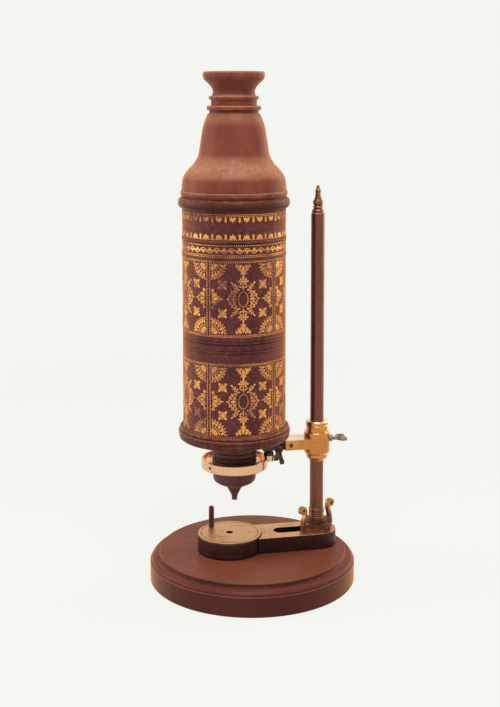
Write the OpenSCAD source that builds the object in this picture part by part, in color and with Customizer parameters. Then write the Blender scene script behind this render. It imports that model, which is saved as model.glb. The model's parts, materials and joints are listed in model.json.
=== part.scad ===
// Compound microscope on a round wooden foot, with a leather-covered barrel on a side pillar.
// Origin: centre of the foot's underside. +Z up, +X towards the pillar. Millimetres.

/* [Foot] */
// Radius of the turned wooden foot
foot_r = 76.8; // [66:0.1:90]
// Height of the foot
foot_h = 21.5; // [17:0.1:28]
// Height of the foot's broad side band
foot_side_h = 14.9; // [8:0.1:15]
// How far the top disc stands back from the foot's side
foot_set_back = 7.1; // [5:0.1:12]
// Height of the square edge round the top disc
foot_edge_h = 1.6; // [0.8:0.1:2]

/* [Pillar] */
// Distance from the foot's rim in to the pillar's axis
pillar_in = 26.8; // [24:0.1:34]
// Radius of the pillar
pillar_r = 5.1; // [4.4:0.1:5.6]
// Height of the pillar's shoulder above the foot's top
pillar_h = 253.5; // [230:0.5:300]
// Radius of the pillar's threaded root
root_r = 5.9; // [5.7:0.1:7]
// Height of the threaded root above the stage arm
root_h = 16.8; // [12:0.1:24]
// Radius of the pillar's spindle inside the stage arm
spindle_r = 4; // [3.4:0.1:4.3]
// Radius of the tenon through the foot
tenon_r = 3.2; // [2.4:0.1:3.4]
// Height of the turned finial
finial_h = 20.3; // [14:0.1:28]
// Radius of the well under the foot for the pillar's nut
well_r = 12; // [11:0.1:15]
// Depth of that well
well_h = 7.5; // [6.5:0.1:10]

/* [Stage arm] */
// Distance from the pillar to the stage disc's centre
stage_reach = 67.5; // [62:0.5:76]
// Width of the stage arm
arm_w = 29.5; // [24:0.1:34]
// Height of the stage arm
arm_h = 11.7; // [8:0.1:14]
// Thickness of the round plate at the arm's end
arm_plate_h = 3; // [2.6:0.1:4]
// Width of the arm's slot
slot_w = 11; // [10.4:0.1:13]
// How far the arm can be drawn out from its place in the photograph
slide_out = 2; // [0.5:0.1:3]
// How far the arm can be pushed in
slide_in = 22; // [10:0.5:24]

/* [Stage disc] */
// Radius of the stage disc
disc_r = 23.8; // [20:0.1:26]
// Height of the disc's drum above the arm's plate
drum_h = 8.9; // [7:0.1:12]
// Thickness of the brass plate on the drum
disc_plate_h = 1.2; // [0.8:0.1:2]
// Radius of the socket through the disc
socket_r = 2.8; // [2:0.1:3.6]
// Radius of the disc's pivot
pivot_r = 6; // [5:0.1:7.5]
// Radius of the specimen pin
pin_r = 2; // [1.2:0.1:2.4]
// Height of the specimen pin above the disc
pin_h = 16.3; // [8:0.1:20]
// Distance from the disc's centre to the specimen pin
pin_out = 18.3; // [14:0.1:19]
// Direction of the specimen pin round the disc, in degrees
pin_turn = 127.7; // [90:0.1:170]

/* [Wing nut] */
// Side of the nut's square block
nut_side = 21; // [19:0.1:26]
// Direction of the nut's block at rest, in degrees
nut_rest_turn = -15; // [-45:1:45]
// Height of the nut's block
nut_h = 6.8; // [5:0.1:9]
// Height of the scroll ears from the block's underside
ear_h = 19.6; // [16:0.1:24]
// Width of the ears' strip
ear_w = 3.4; // [2:0.1:4.5]
// Radius of the scroll at the top of an ear
scroll_r = 2.6; // [2.2:0.1:3.4]

/* [Sleeve] */
// Height of the arm's boss above the foot's top
boss_rise = 71.5; // [66:0.5:110]
// Radius of the arm's boss
boss_r = 9.7; // [8.8:0.1:12]
// Height of the arm's boss
boss_h = 16; // [12:0.1:22]
// Wall of the sleeve inside the boss
sleeve_wall = 1.85; // [1.2:0.05:2.4]
// Height of the collar above the boss
top_collar_h = 8.2; // [6:0.1:12]
// Radius of the collar above the boss
top_collar_r = 8.4; // [8.2:0.1:9.6]
// Height of the collar below the boss
low_collar_h = 6.4; // [5:0.1:10]
// Radius of the collar below the boss
low_collar_r = 7.9; // [7.7:0.1:9.6]

/* [Arm bar] */
// Distance from the pillar to the barrel's axis
reach = 63.6; // [62:0.2:74]
// Width of the bar
bar_w = 16.4; // [13:0.1:24]
// Thickness of the bar
bar_t = 7.6; // [6:0.1:7.8]
// Width of the iron tongue let into the bar
tongue_w = 6; // [4:0.1:8]
// Height of that tongue
tongue_h = 4.4; // [3:0.1:5]
// Length of that tongue
tongue_l = 8.4; // [6:0.1:9]
// Radius of the rivet through bar and tongue
rivet_r = 1.2; // [0.8:0.1:1.5]

/* [Ball clamp] */
// Radius of the ball
ball_r = 4.4; // [4:0.1:4.8]
// How far the ball's centre stands outside the ring
ball_out = 1.5; // [1.3:0.1:3]
// Width of the iron jaws
jaw_w = 10.4; // [9.8:0.1:14]
// Thickness of both jaws and the gap between them
jaw_t = 8; // [7.4:0.1:8.4]
// Gap between the jaws
jaw_gap = 0.9; // [0.5:0.1:1.6]
// Radius of the ball's stem
stem_r = 1.9; // [1.5:0.1:2.1]
// Radius of the jaw screw
jaw_screw_r = 1.5; // [1.2:0.1:1.9]

/* [Ring] */
// Outer radius of the ring
ring_r = 24.7; // [23:0.1:28]
// Height of the ring
ring_h = 7.1; // [6:0.1:10]
// Wall of the ring
ring_wall = 1.7; // [1.2:0.1:2.2]
// Thickness of the ring's floor
ring_floor = 1.8; // [1.2:0.1:2.6]
// Height of the threaded collar inside the ring
ring_collar_h = 5.1; // [4:0.1:5.8]
// Distance from the ball's centre down to the ring's underside
ring_drop = 15.6; // [15.4:0.1:18]

/* [Neck and snout] */
// Radius of the neck's screw
neck_r = 16.6; // [15.6:0.1:17.4]
// Distance from the ring's underside to the barrel's flange
neck_show = 23; // [22:0.1:30]
// Lead of the neck's thread
neck_lead = 3.5; // [2:0.1:5]
// Depth of the neck's thread
neck_thread = 0.6; // [0.2:0.1:0.9]
// Radius of the collar at the neck's top
neck_collar_r = 18.5; // [17.8:0.1:22]
// Radius of the snout
snout_r = 16; // [15:0.1:16.2]
// Height of the snout below the neck
snout_h = 25.2; // [22:0.1:28]
// Radius of the snout's tip
tip_r = 2.1; // [1.8:0.1:3]

/* [Barrel] */
// Radius of the leather-covered barrel
barrel_r = 38; // [35:0.1:44]
// Length of the barrel's tube
barrel_len = 147.4; // [120:0.5:190]
// Thickness of the leather
leather_t = 0.8; // [0.5:0.1:1.2]
// Wall of the pasteboard tube
board_t = 2.2; // [1.4:0.1:2.8]
// How far the flange stands out past the leather
flange_out = 3.6; // [2.4:0.1:6]
// Height of the flange
flange_h = 10.1; // [8.5:0.1:14]
// Thickness of the flange's floor
flange_floor = 3.6; // [2.4:0.1:5]
// Height of the cords under the leather
cord_out = 0.5; // [0.2:0.05:1]
// Distance between the two cords at the barrel's top
cord_gap = 11.3; // [8:0.1:16]

/* [Draw tube] */
// Wall of the draw tube
draw_t = 2.2; // [1.4:0.1:2.8]
// Length of the draw tube inside the barrel
draw_in = 109; // [70:0.5:115]
// Height of the leather-covered band on the draw tube
band_h = 18.3; // [12:0.1:26]
// Radius of the opening in the field stop
stop_r = 14; // [8:0.1:20]

/* [Bell cap] */
// Height of the ring under the bell
top_ring_h = 11; // [10:0.1:13]
// Height of the ring's skirt under the leather
ring_skirt_h = 2.3; // [1:0.1:4]
// How far that ring stands out past the leather
top_ring_out = 3.1; // [2:0.1:5]
// Height of the bell
bell_h = 59.5; // [50:0.1:75]
// Radius of the bell's top
bell_top_r = 19; // [18.4:0.1:22]
// Sagitta of the field lens
field_sag = 3.5; // [2:0.1:4.2]

/* [Eyepiece] */
// Radius of the eyepiece collar
collar_r = 19.9; // [18.4:0.1:22]
// Height of the eyepiece collar
collar_h = 5.7; // [5:0.1:8]
// Height of the eye cup
cup_h = 24.6; // [20:0.1:30]
// Radius of the eye cup's rim
cup_r = 22.7; // [21:0.1:26]
// Radius of the eye cup's waist
waist_r = 15.4; // [14.6:0.1:16]
// Radius of the eye cup's neck
cup_neck_r = 16.7; // [16:0.1:18]
// Radius of the hole that the eye looks through
eye_hole_r = 6; // [4:0.1:8]
// Radius of the eye lens
eye_lens_r = 12.5; // [10.5:0.1:12.8]

/* [Hidden] */

// Clearances
fit = 0.05;
glue = 0.02;
lift = 0.05;
play = 0.1;
free = 0.3;

// Colours
wood = [0.45, 0.25, 0.18];
dark_wood = [0.27, 0.16, 0.16];
brass = [0.82, 0.58, 0.32];
pale_brass = [0.92, 0.74, 0.58];
dark_brass = [0.36, 0.22, 0.17];
iron = [0.2, 0.18, 0.15];
leather = [0.33, 0.16, 0.17];
board = [0.72, 0.62, 0.46];
glass = [0.8, 0.88, 0.9, 0.5];

// Heights and places of the lower works
pillar_x = foot_r - pillar_in;
arm_z = foot_h + lift;
arm_top = arm_z + arm_h;
nut_z = arm_top + lift;
root_z = arm_top + free;
root_top = arm_top + root_h;
pillar_top = foot_h + pillar_h;
disc_x = pillar_x - stage_reach;
drum_z = arm_z + arm_plate_h + lift;
drum_top = drum_z + drum_h;
washer_h = 1.2;
finial_bore_r = 1.6;
finial_bore_h = 6;
pivot_z = arm_z + play;
pin_at = [disc_x + pin_out * cos(pin_turn), pin_out * sin(pin_turn)];
pin_sunk = min(6, drum_h - 1.5);
slider_l = 2 * spindle_r + 4;
slot_end = slider_l / 2 + slide_out + free;
slot_start = slider_l / 2 + slide_in + play;

// Heights and places of the upper works
tube_x = pillar_x - reach;
boss_z = foot_h + boss_rise;
boss_top = boss_z + boss_h;
sleeve_r = pillar_r + fit + sleeve_wall;
ball_x = tube_x + ring_r + ball_out;
ball_z = boss_z + boss_h / 2;
jaw_screw_x = ball_x + ball_r + 3.5;
jaw_wall = 0.45;
heel_l = 1.3;
bar_end = jaw_screw_x + jaw_screw_r + fit + jaw_wall + play + heel_l;
sleeve_screw_r = 1.7;
sleeve_screw_z = ball_z + boss_h * 0.1;
jaw_low = ball_z - jaw_t / 2;
jaw_high = ball_z + jaw_t / 2;
jaw_tip = ball_x - ball_r - 0.8;
ring_z = ball_z - ring_drop;
ring_in = ring_r - ring_wall;
flange_z = ring_z + neck_show;
tube_z = flange_z + flange_floor;
barrel_top = tube_z + barrel_len;
board_r = barrel_r - leather_t;
bore_r = board_r - board_t;
draw_r = bore_r - fit;
draw_bore = draw_r - draw_t;
band_z = barrel_top + free;
top_ring_z = band_z + band_h;
bell_z = top_ring_z + top_ring_h;
bell_top = bell_z + bell_h;
collar_z = bell_top;
cup_z = collar_z + collar_h + play;
cup_top = cup_z + cup_h;

// Neck and snout
neck_z = ring_z - 0.2;
neck_bore = neck_r - 4.6;
neck_socket = neck_r - 3.1;
neck_socket_h = 5;
flange_spigot_h = 9;
snout_top = neck_z;
snout_tip = snout_top - snout_h;
objective_r = 2.6;
objective_z = snout_tip + 7;
flange_hole = neck_r - 1.5;
ring_collar_r = neck_r + fit + 1.95;
ring_screw_r = 1.2;
ring_screw_turn = -148;

// Lens seats
lens_edge = 2;
field_r = draw_r - 2.9;
field_z = top_ring_z + 5;
field_ring_h = 0.9;
bell_spigot_r = field_r + 2.4;
bell_spigot_h = bell_z - field_z - lens_edge - 0.5 - field_ring_h;
eye_spigot_r = bell_top_r - 2.5;
eye_spigot_h = 10;
eye_edge = 1.2;
eye_sag = 1.9;
eye_curve = (eye_lens_r * eye_lens_r + eye_sag * eye_sag) / (2 * eye_sag);
eye_ledge_r = eye_lens_r - 1.8;
eye_ledge_drop = eye_sag - (eye_curve - sqrt(eye_curve * eye_curve - eye_ledge_r * eye_ledge_r));
eye_seat_z = collar_z - 0.9;
eye_ring_z = eye_seat_z + eye_edge + 0.5;
eye_ring_h = 1.2;
cup_spigot_r = eye_lens_r + 1.3;

// Points on an upright or flattened arc, from one angle to another
function arc(c, rx, ry, from, to, n = 8) = [
    for (i = [0:n])
        let (a = from + (to - from) * i / n)
        [c[0] + rx * cos(a), c[1] + ry * sin(a)]
];

// A smooth curve through points
function near(p, i) = p[max(0, min(len(p) - 1, i))];
function blend(a, b, c, d, t) =
    0.5 * (2 * b + (c - a) * t + (2 * a - 5 * b + 4 * c - d) * t * t
        + (3 * b - a - 3 * c + d) * t * t * t);
function curve(p, n = 4) = [
    for (i = [0:len(p) - 2], k = [0:n - 1])
        blend(near(p, i - 1), p[i], p[i + 1], near(p, i + 2), k / n),
    p[len(p) - 1]
];

// A rounded bead that stands out from a turned face
function bead(r, z, out, half_h, n = 8) = arc([r, z], out, half_h, -90, 90, n);

// A solid of revolution about the vertical axis
module turned(points) {
    rotate_extrude($fn = 96) polygon(points);
}

module tube(outer, inner, h) {
    turned([[inner, 0], [outer, 0], [outer, h], [inner, h]]);
}

module at_pillar(z = 0) {
    translate([pillar_x, 0, z]) children();
}

module at_tube(z = 0) {
    translate([tube_x, 0, z]) children();
}

module at_disc(z = 0) {
    translate([disc_x, 0, z]) children();
}

// Turned foot with a thumb-moulded side and a raised top disc
module base_foot() {
    top_r = foot_r - foot_set_back;
    fillet = 0.9;
    edge = 0.8;
    edge_z = foot_h - foot_edge_h;
    ovolo_h = (edge_z - foot_side_h) * 0.68;
    ovolo_w = foot_set_back * 0.56;
    cove_w = foot_set_back - fillet - ovolo_w;
    cove_h = edge_z - foot_side_h - ovolo_h;
    color(wood)
    difference() {
        turned(concat(
            [[0, 0]],
            arc([foot_r - edge, edge], edge, edge, -90, 0, 4),
            arc([foot_r - edge, foot_side_h - edge], edge, edge, 0, 60, 4),
            [[foot_r - fillet, foot_side_h]],
            arc([foot_r - fillet - ovolo_w, foot_side_h], ovolo_w, ovolo_h, 0, 90, 8),
            arc([top_r + cove_w, edge_z], cove_w, cove_h, 270, 180, 6),
            arc([top_r - edge / 2, foot_h - edge / 2], edge / 2, edge / 2, 0, 90, 3),
            [[0, foot_h]]
        ));
        at_pillar(-1) cylinder(h = well_h + 1, r = well_r, $fn = 64);
        at_pillar(-1) cylinder(h = foot_h + 2, r = tenon_r + glue, $fn = 48);
    }
}

// Tenon, spindle inside the stage arm, threaded root and long plain shaft
module pillar() {
    thread_pitch = 1.6;
    thread_cut = 0.45;
    threads = floor((root_h - nut_h - 4) / thread_pitch);
    thread_z = root_top - 2.4 - threads * thread_pitch;
    color(dark_brass)
    at_pillar()
    difference() {
        turned(concat(
            [[0, 1.2], [tenon_r, 1.2], [tenon_r, foot_h], [spindle_r, foot_h]],
            [[spindle_r, root_z], [root_r, root_z], [root_r, thread_z]],
            [
                for (i = [0:threads - 1], k = [0:1])
                    [root_r - thread_cut * k, thread_z + (i + k * 0.5) * thread_pitch]
            ],
            [[root_r, root_top - 2.4], [root_r, root_top - 1.6]],
            curve([[root_r, root_top - 1.6], [root_r - 0.3, root_top - 0.9], [pillar_r, root_top]]),
            [[pillar_r, pillar_top - 0.6], [pillar_r - 0.6, pillar_top], [0, pillar_top]]
        ));
        translate([0, 0, pillar_top - finial_bore_h])
            cylinder(h = finial_bore_h + 1, r = finial_bore_r, $fn = 32);
    }
}

// Round washer in the well under the foot
module pillar_washer() {
    color(brass)
    at_pillar(well_h - washer_h) tube(well_r - 2, tenon_r + glue, washer_h);
}

// Square nut on the tenon's end
module pillar_nut() {
    side = 2 * tenon_r + 6;
    nut_t = 4;
    color(brass)
    at_pillar(well_h - washer_h - nut_t)
    difference() {
        translate([-side / 2, -side / 2, 0]) cube([side, side, nut_t]);
        translate([0, 0, -1]) cylinder(h = nut_t + 2, r = tenon_r + glue, $fn = 48);
    }
}

// Outline of the finial: share of its foot's radius and share of its height
finial_shape = [
    [0.978, 0.044], [0.956, 0.099], [0.711, 0.148], [0.711, 0.167], [0.822, 0.192], [0.822, 0.232],
    [0.678, 0.261], [0.8, 0.315], [0.867, 0.374], [0.756, 0.443], [0.578, 0.512], [0.5, 0.591],
    [0.422, 0.754], [0.511, 0.793], [0.5, 0.833], [0.311, 0.872], [0.289, 0.98]
];

// Turned ornament screwed into the pillar's top
module pillar_finial() {
    spigot_h = finial_bore_h - 0.6;
    spigot_r = finial_bore_r - glue;
    base_r = pillar_r - 0.6;
    color(dark_brass)
    at_pillar(pillar_top)
    turned(concat(
        [[0, -spigot_h], [spigot_r, -spigot_h], [spigot_r, 0], [base_r, 0]],
        curve([for (p = finial_shape) [base_r * p[0], finial_h * p[1]]], 3),
        [[base_r * 0.2, finial_h], [0, finial_h]]
    ));
}

// Block with flat cheeks that turns on the spindle and guides the arm's slot
module slot_slider() {
    height = arm_h - 2 * play;
    color(brass)
    at_pillar(arm_z + play)
    difference() {
        translate([-slider_l / 2, -slot_w / 2 + fit, 0]) cube([slider_l, slot_w - 2 * fit, height]);
        translate([0, 0, -1]) cylinder(h = height + 2, r = spindle_r + fit, $fn = 48);
    }
}

// Plan of the arm's thick part: straight sides, round outer end, hollowed round the disc
module arm_plan() {
    difference() {
        union() {
            translate([disc_x, -arm_w / 2]) square([stage_reach, arm_w]);
            translate([pillar_x, 0]) circle(r = arm_w / 2, $fn = 96);
        }
        translate([disc_x, 0]) circle(r = disc_r + 0.4, $fn = 96);
    }
}

// Slot with a round inner end
module slot_plan() {
    translate([pillar_x - slot_start, -slot_w / 2])
        square([slot_start + slot_end, slot_w]);
    translate([pillar_x - slot_start, 0]) circle(r = slot_w / 2, $fn = 48);
}

// Slotted arm that lies on the foot and carries the disc on its thin round end
module stage_arm() {
    color(brass)
    difference() {
        union() {
            translate([0, 0, arm_z]) linear_extrude(arm_h) arm_plan();
            at_disc(arm_z) cylinder(h = arm_plate_h, r = disc_r, $fn = 96);
            translate([disc_x + disc_r - 2, -arm_w / 4, arm_z])
                cube([4, arm_w / 2, arm_plate_h]);
        }
        translate([0, 0, arm_z - 1]) linear_extrude(arm_h + 2) slot_plan();
        at_disc(arm_z - 1) cylinder(h = arm_plate_h + 2, r = pivot_r + fit, $fn = 64);
        at_disc(arm_z - 1) cylinder(h = washer_h + 1.3, r = pivot_r + 3.4, $fn = 64);
    }
}

// Drum with the pivot below and the socket through its centre
module stage_drum() {
    color(dark_brass)
    difference() {
        union() {
            at_disc(drum_z) cylinder(h = drum_h, r = disc_r, $fn = 96);
            at_disc(pivot_z) cylinder(h = drum_z - pivot_z + 1, r = pivot_r, $fn = 64);
        }
        at_disc(pivot_z - 1) cylinder(h = drum_top - pivot_z + 2, r = socket_r, $fn = 48);
        translate([pin_at[0], pin_at[1], drum_top - pin_sunk])
            cylinder(h = pin_sunk + 1, r = pin_r + fit, $fn = 48);
    }
}

// Brass plate with a turned border line
module stage_plate() {
    line_r = disc_r - 2.4;
    line_w = 0.5;
    line_cut = 0.25;
    edge = 0.3;
    color(brass)
    difference() {
        at_disc(drum_top) turned([
            [socket_r, 0], [disc_r, 0], [disc_r, disc_plate_h - edge],
            [disc_r - edge, disc_plate_h],
            [line_r + line_w, disc_plate_h], [line_r, disc_plate_h - line_cut],
            [line_r - line_w, disc_plate_h], [socket_r, disc_plate_h]
        ]);
        translate([pin_at[0], pin_at[1], drum_top - 1])
            cylinder(h = disc_plate_h + 2, r = pin_r + fit, $fn = 48);
    }
}

// Washer peened on the pivot's end, in the arm plate's recess
module pivot_washer() {
    color(brass)
    at_disc(pivot_z) tube(pivot_r + 3, pivot_r + glue, washer_h);
}

// Round-topped pin that a specimen is stuck on
module specimen_pin() {
    length = pin_sunk + disc_plate_h + pin_h - play;
    color(iron)
    translate([pin_at[0], pin_at[1], drum_top - pin_sunk + play])
    turned(concat(
        [[0, 0], [pin_r, 0]],
        arc([0, length - pin_r * 0.7], pin_r, pin_r * 0.7, 0, 90, 6)
    ));
}

// Centre line of a scroll ear, from the block's underside to the eye of the scroll
scroll_turn = 290;
scroll_shrink = 0.42;
ear_half = 1.3;
scroll_half = 0.85;
ear_root = nut_side / sqrt(2) - 0.4;
scroll_c = [ear_root + 0.4, ear_h - scroll_r - scroll_half];
function scroll_point(t) =
    let (r = scroll_r * (1 - scroll_shrink * t), a = 180 - scroll_turn * t)
    scroll_c + r * [cos(a), sin(a)];
ear_line = concat(
    curve([
        [ear_root, 0], [ear_root - 0.1, ear_h * 0.2], [ear_root - 1.1, ear_h * 0.45],
        [scroll_c[0] - scroll_r - 0.1, scroll_c[1] - ear_h * 0.16],
        [scroll_c[0] - scroll_r, scroll_c[1]]
    ]),
    [for (i = [1:16]) scroll_point(i / 16)]
);
function ear_width(i) = ear_half + (scroll_half - ear_half) * i / (len(ear_line) - 1);
function ear_normal(i) =
    let (d = near(ear_line, i + 1) - near(ear_line, i - 1))
    [-d[1], d[0]] / norm(d);
function ear_side(s) = [
    for (i = [0:len(ear_line) - 1])
        ear_line[i] + s * ear_width(i) * ear_normal(i)
];
function reversed(p) = [for (i = [len(p) - 1:-1:0]) p[i]];

// One scroll ear, standing in the plane y = 0
module scroll_ear() {
    rotate([90, 0, 0])
    linear_extrude(ear_w, center = true) {
        polygon(concat(ear_side(1), reversed(ear_side(-1))));
        translate(scroll_point(1)) circle(r = scroll_half * 1.35, $fn = 24);
    }
}

// Square nut with two scroll ears on opposite corners
module wing_nut() {
    boss_out = 2.4;
    color(dark_brass)
    at_pillar(nut_z)
    rotate(nut_rest_turn)
    difference() {
        union() {
            translate([-nut_side / 2, -nut_side / 2, 0])
                cube([nut_side, nut_side, nut_h - 1]);
            translate([0, 0, nut_h - 1])
                cylinder(h = 1, r = root_r + boss_out, $fn = 64);
            for (turn = [45, 225])
                rotate(turn) scroll_ear();
        }
        translate([0, 0, -1]) cylinder(h = nut_h + 2, r = root_r + fit, $fn = 64);
    }
}

// Sleeve that slides on the pillar, with the collar below the boss
module inner_sleeve() {
    bottom = boss_z - low_collar_h;
    hole = pillar_r + fit;
    collar_end = boss_z - play;
    color(brass)
    at_pillar()
    turned(concat(
        [[hole, bottom], [hole + 0.8, bottom]],
        curve([
            [hole + 0.8, bottom], [hole + 1.1, bottom + low_collar_h * 0.16],
            [low_collar_r - 0.3, bottom + low_collar_h * 0.34],
            [low_collar_r, bottom + low_collar_h * 0.48]
        ]),
        [[low_collar_r, collar_end - 1.4], [low_collar_r - 0.3, collar_end - 1.1]],
        [[low_collar_r, collar_end - 0.8], [low_collar_r, collar_end], [sleeve_r, collar_end]],
        [[sleeve_r, boss_top + top_collar_h / 2], [hole, boss_top + top_collar_h / 2]]
    ));
}

// Beaded collar screwed on the sleeve's upper end
module sleeve_cap() {
    hole = pillar_r + fit;
    low = boss_top + play;
    split = boss_top + top_collar_h / 2;
    high = boss_top + top_collar_h;
    color(brass)
    at_pillar()
    turned(concat(
        [[sleeve_r + glue, low], [top_collar_r - 0.4, low], [top_collar_r - 0.4, split - 0.6]],
        bead(top_collar_r - 0.4, split + 0.2, 0.4, 0.8, 6),
        [[top_collar_r - 0.4, split + 1.2], [top_collar_r, split + 1.5]],
        [[top_collar_r, high - 1], [top_collar_r - 0.8, high], [hole, high]],
        [[hole, split], [sleeve_r + glue, split]]
    ));
}

// Boss and flat bar in one casting, with a mortise for the iron tongue
module arm_bar() {
    color(brass)
    difference() {
        union() {
            at_pillar(boss_z) turned(concat(
                [[0, 0]],
                arc([boss_r - 0.5, 0.5], 0.5, 0.5, -90, 0, 3),
                arc([boss_r - 0.5, boss_h - 0.5], 0.5, 0.5, 0, 90, 3),
                [[0, boss_h]]
            ));
            translate([bar_end, -bar_w / 2, ball_z - bar_t / 2])
                cube([pillar_x - bar_end, bar_w, bar_t]);
        }
        at_pillar(boss_z - 1) cylinder(h = boss_h + 2, r = sleeve_r + fit, $fn = 64);
        at_pillar(boss_z - 20) cylinder(h = 20, r = pillar_r + 6, $fn = 64);
        translate([bar_end - 1, -tongue_w / 2 - glue, ball_z - tongue_h / 2 - glue])
            cube([tongue_l + 1, tongue_w + 2 * glue, tongue_h + 2 * glue]);
        translate([bar_end + tongue_l / 2, 0, ball_z])
            rotate([90, 0, 0])
            cylinder(h = bar_w + 2, r = rivet_r + glue, center = true, $fn = 32);
        translate([pillar_x, 0, sleeve_screw_z])
            rotate([0, 90, 0]) cylinder(h = boss_r + 1, r = sleeve_screw_r + fit, $fn = 32);
    }
}

// Flat two-lobed wings in the plane z = 0, spreading from x = 0
module wing_plan(length, spread, lobe) {
    neck = 1.7;
    polygon([
        [0, -neck], [length - lobe, -spread + lobe * 0.2], [length - lobe * 1.3, -spread * 0.25],
        [length * 0.42, 0], [length - lobe * 1.3, spread * 0.25],
        [length - lobe, spread - lobe * 0.2], [0, neck]
    ]);
    for (side = [-1, 1])
        translate([length - lobe, side * (spread - lobe)]) circle(r = lobe, $fn = 48);
}

// Thumb screw in the boss, opposite the bar
module sleeve_screw() {
    wing_t = 1.8;
    hub_r = 2.5;
    tip_x = sleeve_r + play;
    neck_x = boss_r + 0.5;
    color(iron)
    translate([pillar_x, 0, sleeve_screw_z]) {
        rotate([0, 90, 0]) turned([
            [0, tip_x], [sleeve_screw_r, tip_x], [sleeve_screw_r, neck_x], [hub_r, neck_x],
            [hub_r, neck_x + 1.2], [hub_r - 0.6, neck_x + 2.6], [0, neck_x + 2.6]
        ]);
        translate([neck_x + 2.2, 0, -wing_t / 2])
            linear_extrude(wing_t) wing_plan(10.4, 6.8, 3.3);
    }
}

// Lower jaw with the heel and the tongue that is riveted into the bar
module jaw_block() {
    half = (jaw_t - jaw_gap) / 2;
    color(iron)
    difference() {
        union() {
            translate([jaw_tip, -jaw_w / 2, jaw_low]) cube([bar_end - jaw_tip, jaw_w, half]);
            translate([bar_end - heel_l, -jaw_w / 2, jaw_low]) cube([heel_l, jaw_w, jaw_t]);
            translate([bar_end - 0.5, -tongue_w / 2, ball_z - tongue_h / 2])
                cube([tongue_l + 0.4, tongue_w, tongue_h]);
        }
        jaw_seat();
        translate([ball_x, 0, jaw_low - 1])
            cylinder(h = half / 2 + 1, r = stem_r + 1.5, $fn = 48);
        translate([jaw_screw_x, 0, jaw_low - 1])
            cylinder(h = half + 2, r = jaw_screw_r + fit, $fn = 32);
        translate([bar_end + tongue_l / 2, 0, ball_z])
            rotate([90, 0, 0])
            cylinder(h = tongue_w + 2, r = rivet_r + glue, center = true, $fn = 32);
    }
}

// Hollow of the two jaws round the ball
module jaw_seat() {
    translate([ball_x, 0, ball_z]) sphere(r = ball_r + fit, $fn = 64);
}

// Upper jaw, drawn down by the jaw screw
module jaw_cap() {
    half = (jaw_t - jaw_gap) / 2;
    length = bar_end - heel_l - play - jaw_tip;
    color(iron)
    difference() {
        translate([jaw_tip, -jaw_w / 2, jaw_high - half]) cube([length, jaw_w, half]);
        jaw_seat();
        translate([jaw_screw_x, 0, jaw_high - half - 1])
            cylinder(h = half, r = jaw_screw_r + fit, $fn = 32);
    }
}

// Rivet across the bar and the tongue, with low domed heads
module jaw_rivet() {
    head = 0.5;
    color(dark_brass)
    translate([bar_end + tongue_l / 2, 0, ball_z])
    rotate([90, 0, 0])
    turned(concat(
        [[0, -bar_w / 2 - head]],
        arc([0, -bar_w / 2], rivet_r * 1.5, head, -60, 0, 3),
        [[rivet_r, -bar_w / 2], [rivet_r, bar_w / 2]],
        arc([0, bar_w / 2], rivet_r * 1.5, head, 0, 60, 3),
        [[0, bar_w / 2 + head]]
    ));
}

// Screw with down-turned wings that draws the jaws together
module jaw_screw() {
    wing_turn = -76;
    wing_t = 2.2;
    collar = 2.4;
    hub_r = 3;
    top = jaw_high - 1.4;
    low = jaw_low - play;
    color(iron)
    translate([jaw_screw_x, 0, 0]) {
        turned([
            [0, low - collar - 1], [hub_r - 1, low - collar - 1], [hub_r, low - collar],
            [hub_r, low], [jaw_screw_r, low], [jaw_screw_r, top], [0, top]
        ]);
        translate([0, 0, low - collar + 0.4])
            rotate(wing_turn)
            rotate([0, 90, 90])
            translate([0, 0, -wing_t / 2])
            linear_extrude(wing_t) wing_plan(9, 7, 2.1);
    }
}

// Iron ball between the jaws
module ball() {
    color(iron)
    translate([ball_x, 0, ball_z]) sphere(r = ball_r, $fn = 64);
}

// Stem from the ball to the ring's lug, with a collar that seats on the lug
module ball_stem() {
    collar_r = 3.7;
    lug_top = ring_z + ring_h;
    collar_h = 2.8;
    color(iron)
    difference() {
        translate([ball_x, 0, 0]) turned([
            [0, ring_z + 2.4], [stem_r, ring_z + 2.4], [stem_r, lug_top + lift],
            [collar_r, lug_top + lift], [collar_r, lug_top + collar_h - 0.6],
            [collar_r - 0.6, lug_top + collar_h], [stem_r, lug_top + collar_h],
            [stem_r, ball_z - ball_r + 1], [0, ball_z - ball_r + 1]
        ]);
        translate([ball_x, 0, ball_z]) sphere(r = ball_r + fit, $fn = 64);
    }
}

// Band with a floor, a threaded collar for the neck and a lug for the ball's stem
module ring() {
    lug_r = 4.1;
    lug_z = ring_z + ring_h - 4.2;
    lug_x = ball_x - tube_x;
    lug_h = ring_z + ring_h - lug_z;
    color(pale_brass)
    at_tube()
    difference() {
        union() {
            turned([
                [neck_r + fit, ring_z], [ring_r - 0.4, ring_z], [ring_r, ring_z + 0.4],
                [ring_r, ring_z + ring_h - 0.4], [ring_r - 0.4, ring_z + ring_h],
                [ring_in, ring_z + ring_h], [ring_in, ring_z + ring_floor],
                [ring_collar_r, ring_z + ring_floor], [ring_collar_r, ring_z + ring_collar_h],
                [neck_r + fit, ring_z + ring_collar_h]
            ]);
            translate([0, 0, lug_z])
            linear_extrude(lug_h)
            difference() {
                union() {
                    translate([lug_x, 0]) circle(r = lug_r, $fn = 48);
                    translate([ring_in - 1, -lug_r]) square([lug_x - ring_in + 1, 2 * lug_r]);
                }
                circle(r = ring_in - 0.8, $fn = 96);
            }
        }
        translate([lug_x, 0, lug_z - 1])
            cylinder(h = lug_h + 2, r = stem_r + fit, $fn = 32);
        translate([0, 0, ring_z + ring_h / 2])
            rotate([0, 90, ring_screw_turn])
            cylinder(h = ring_r + 1, r = ring_screw_r + glue, $fn = 32);
    }
}

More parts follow.
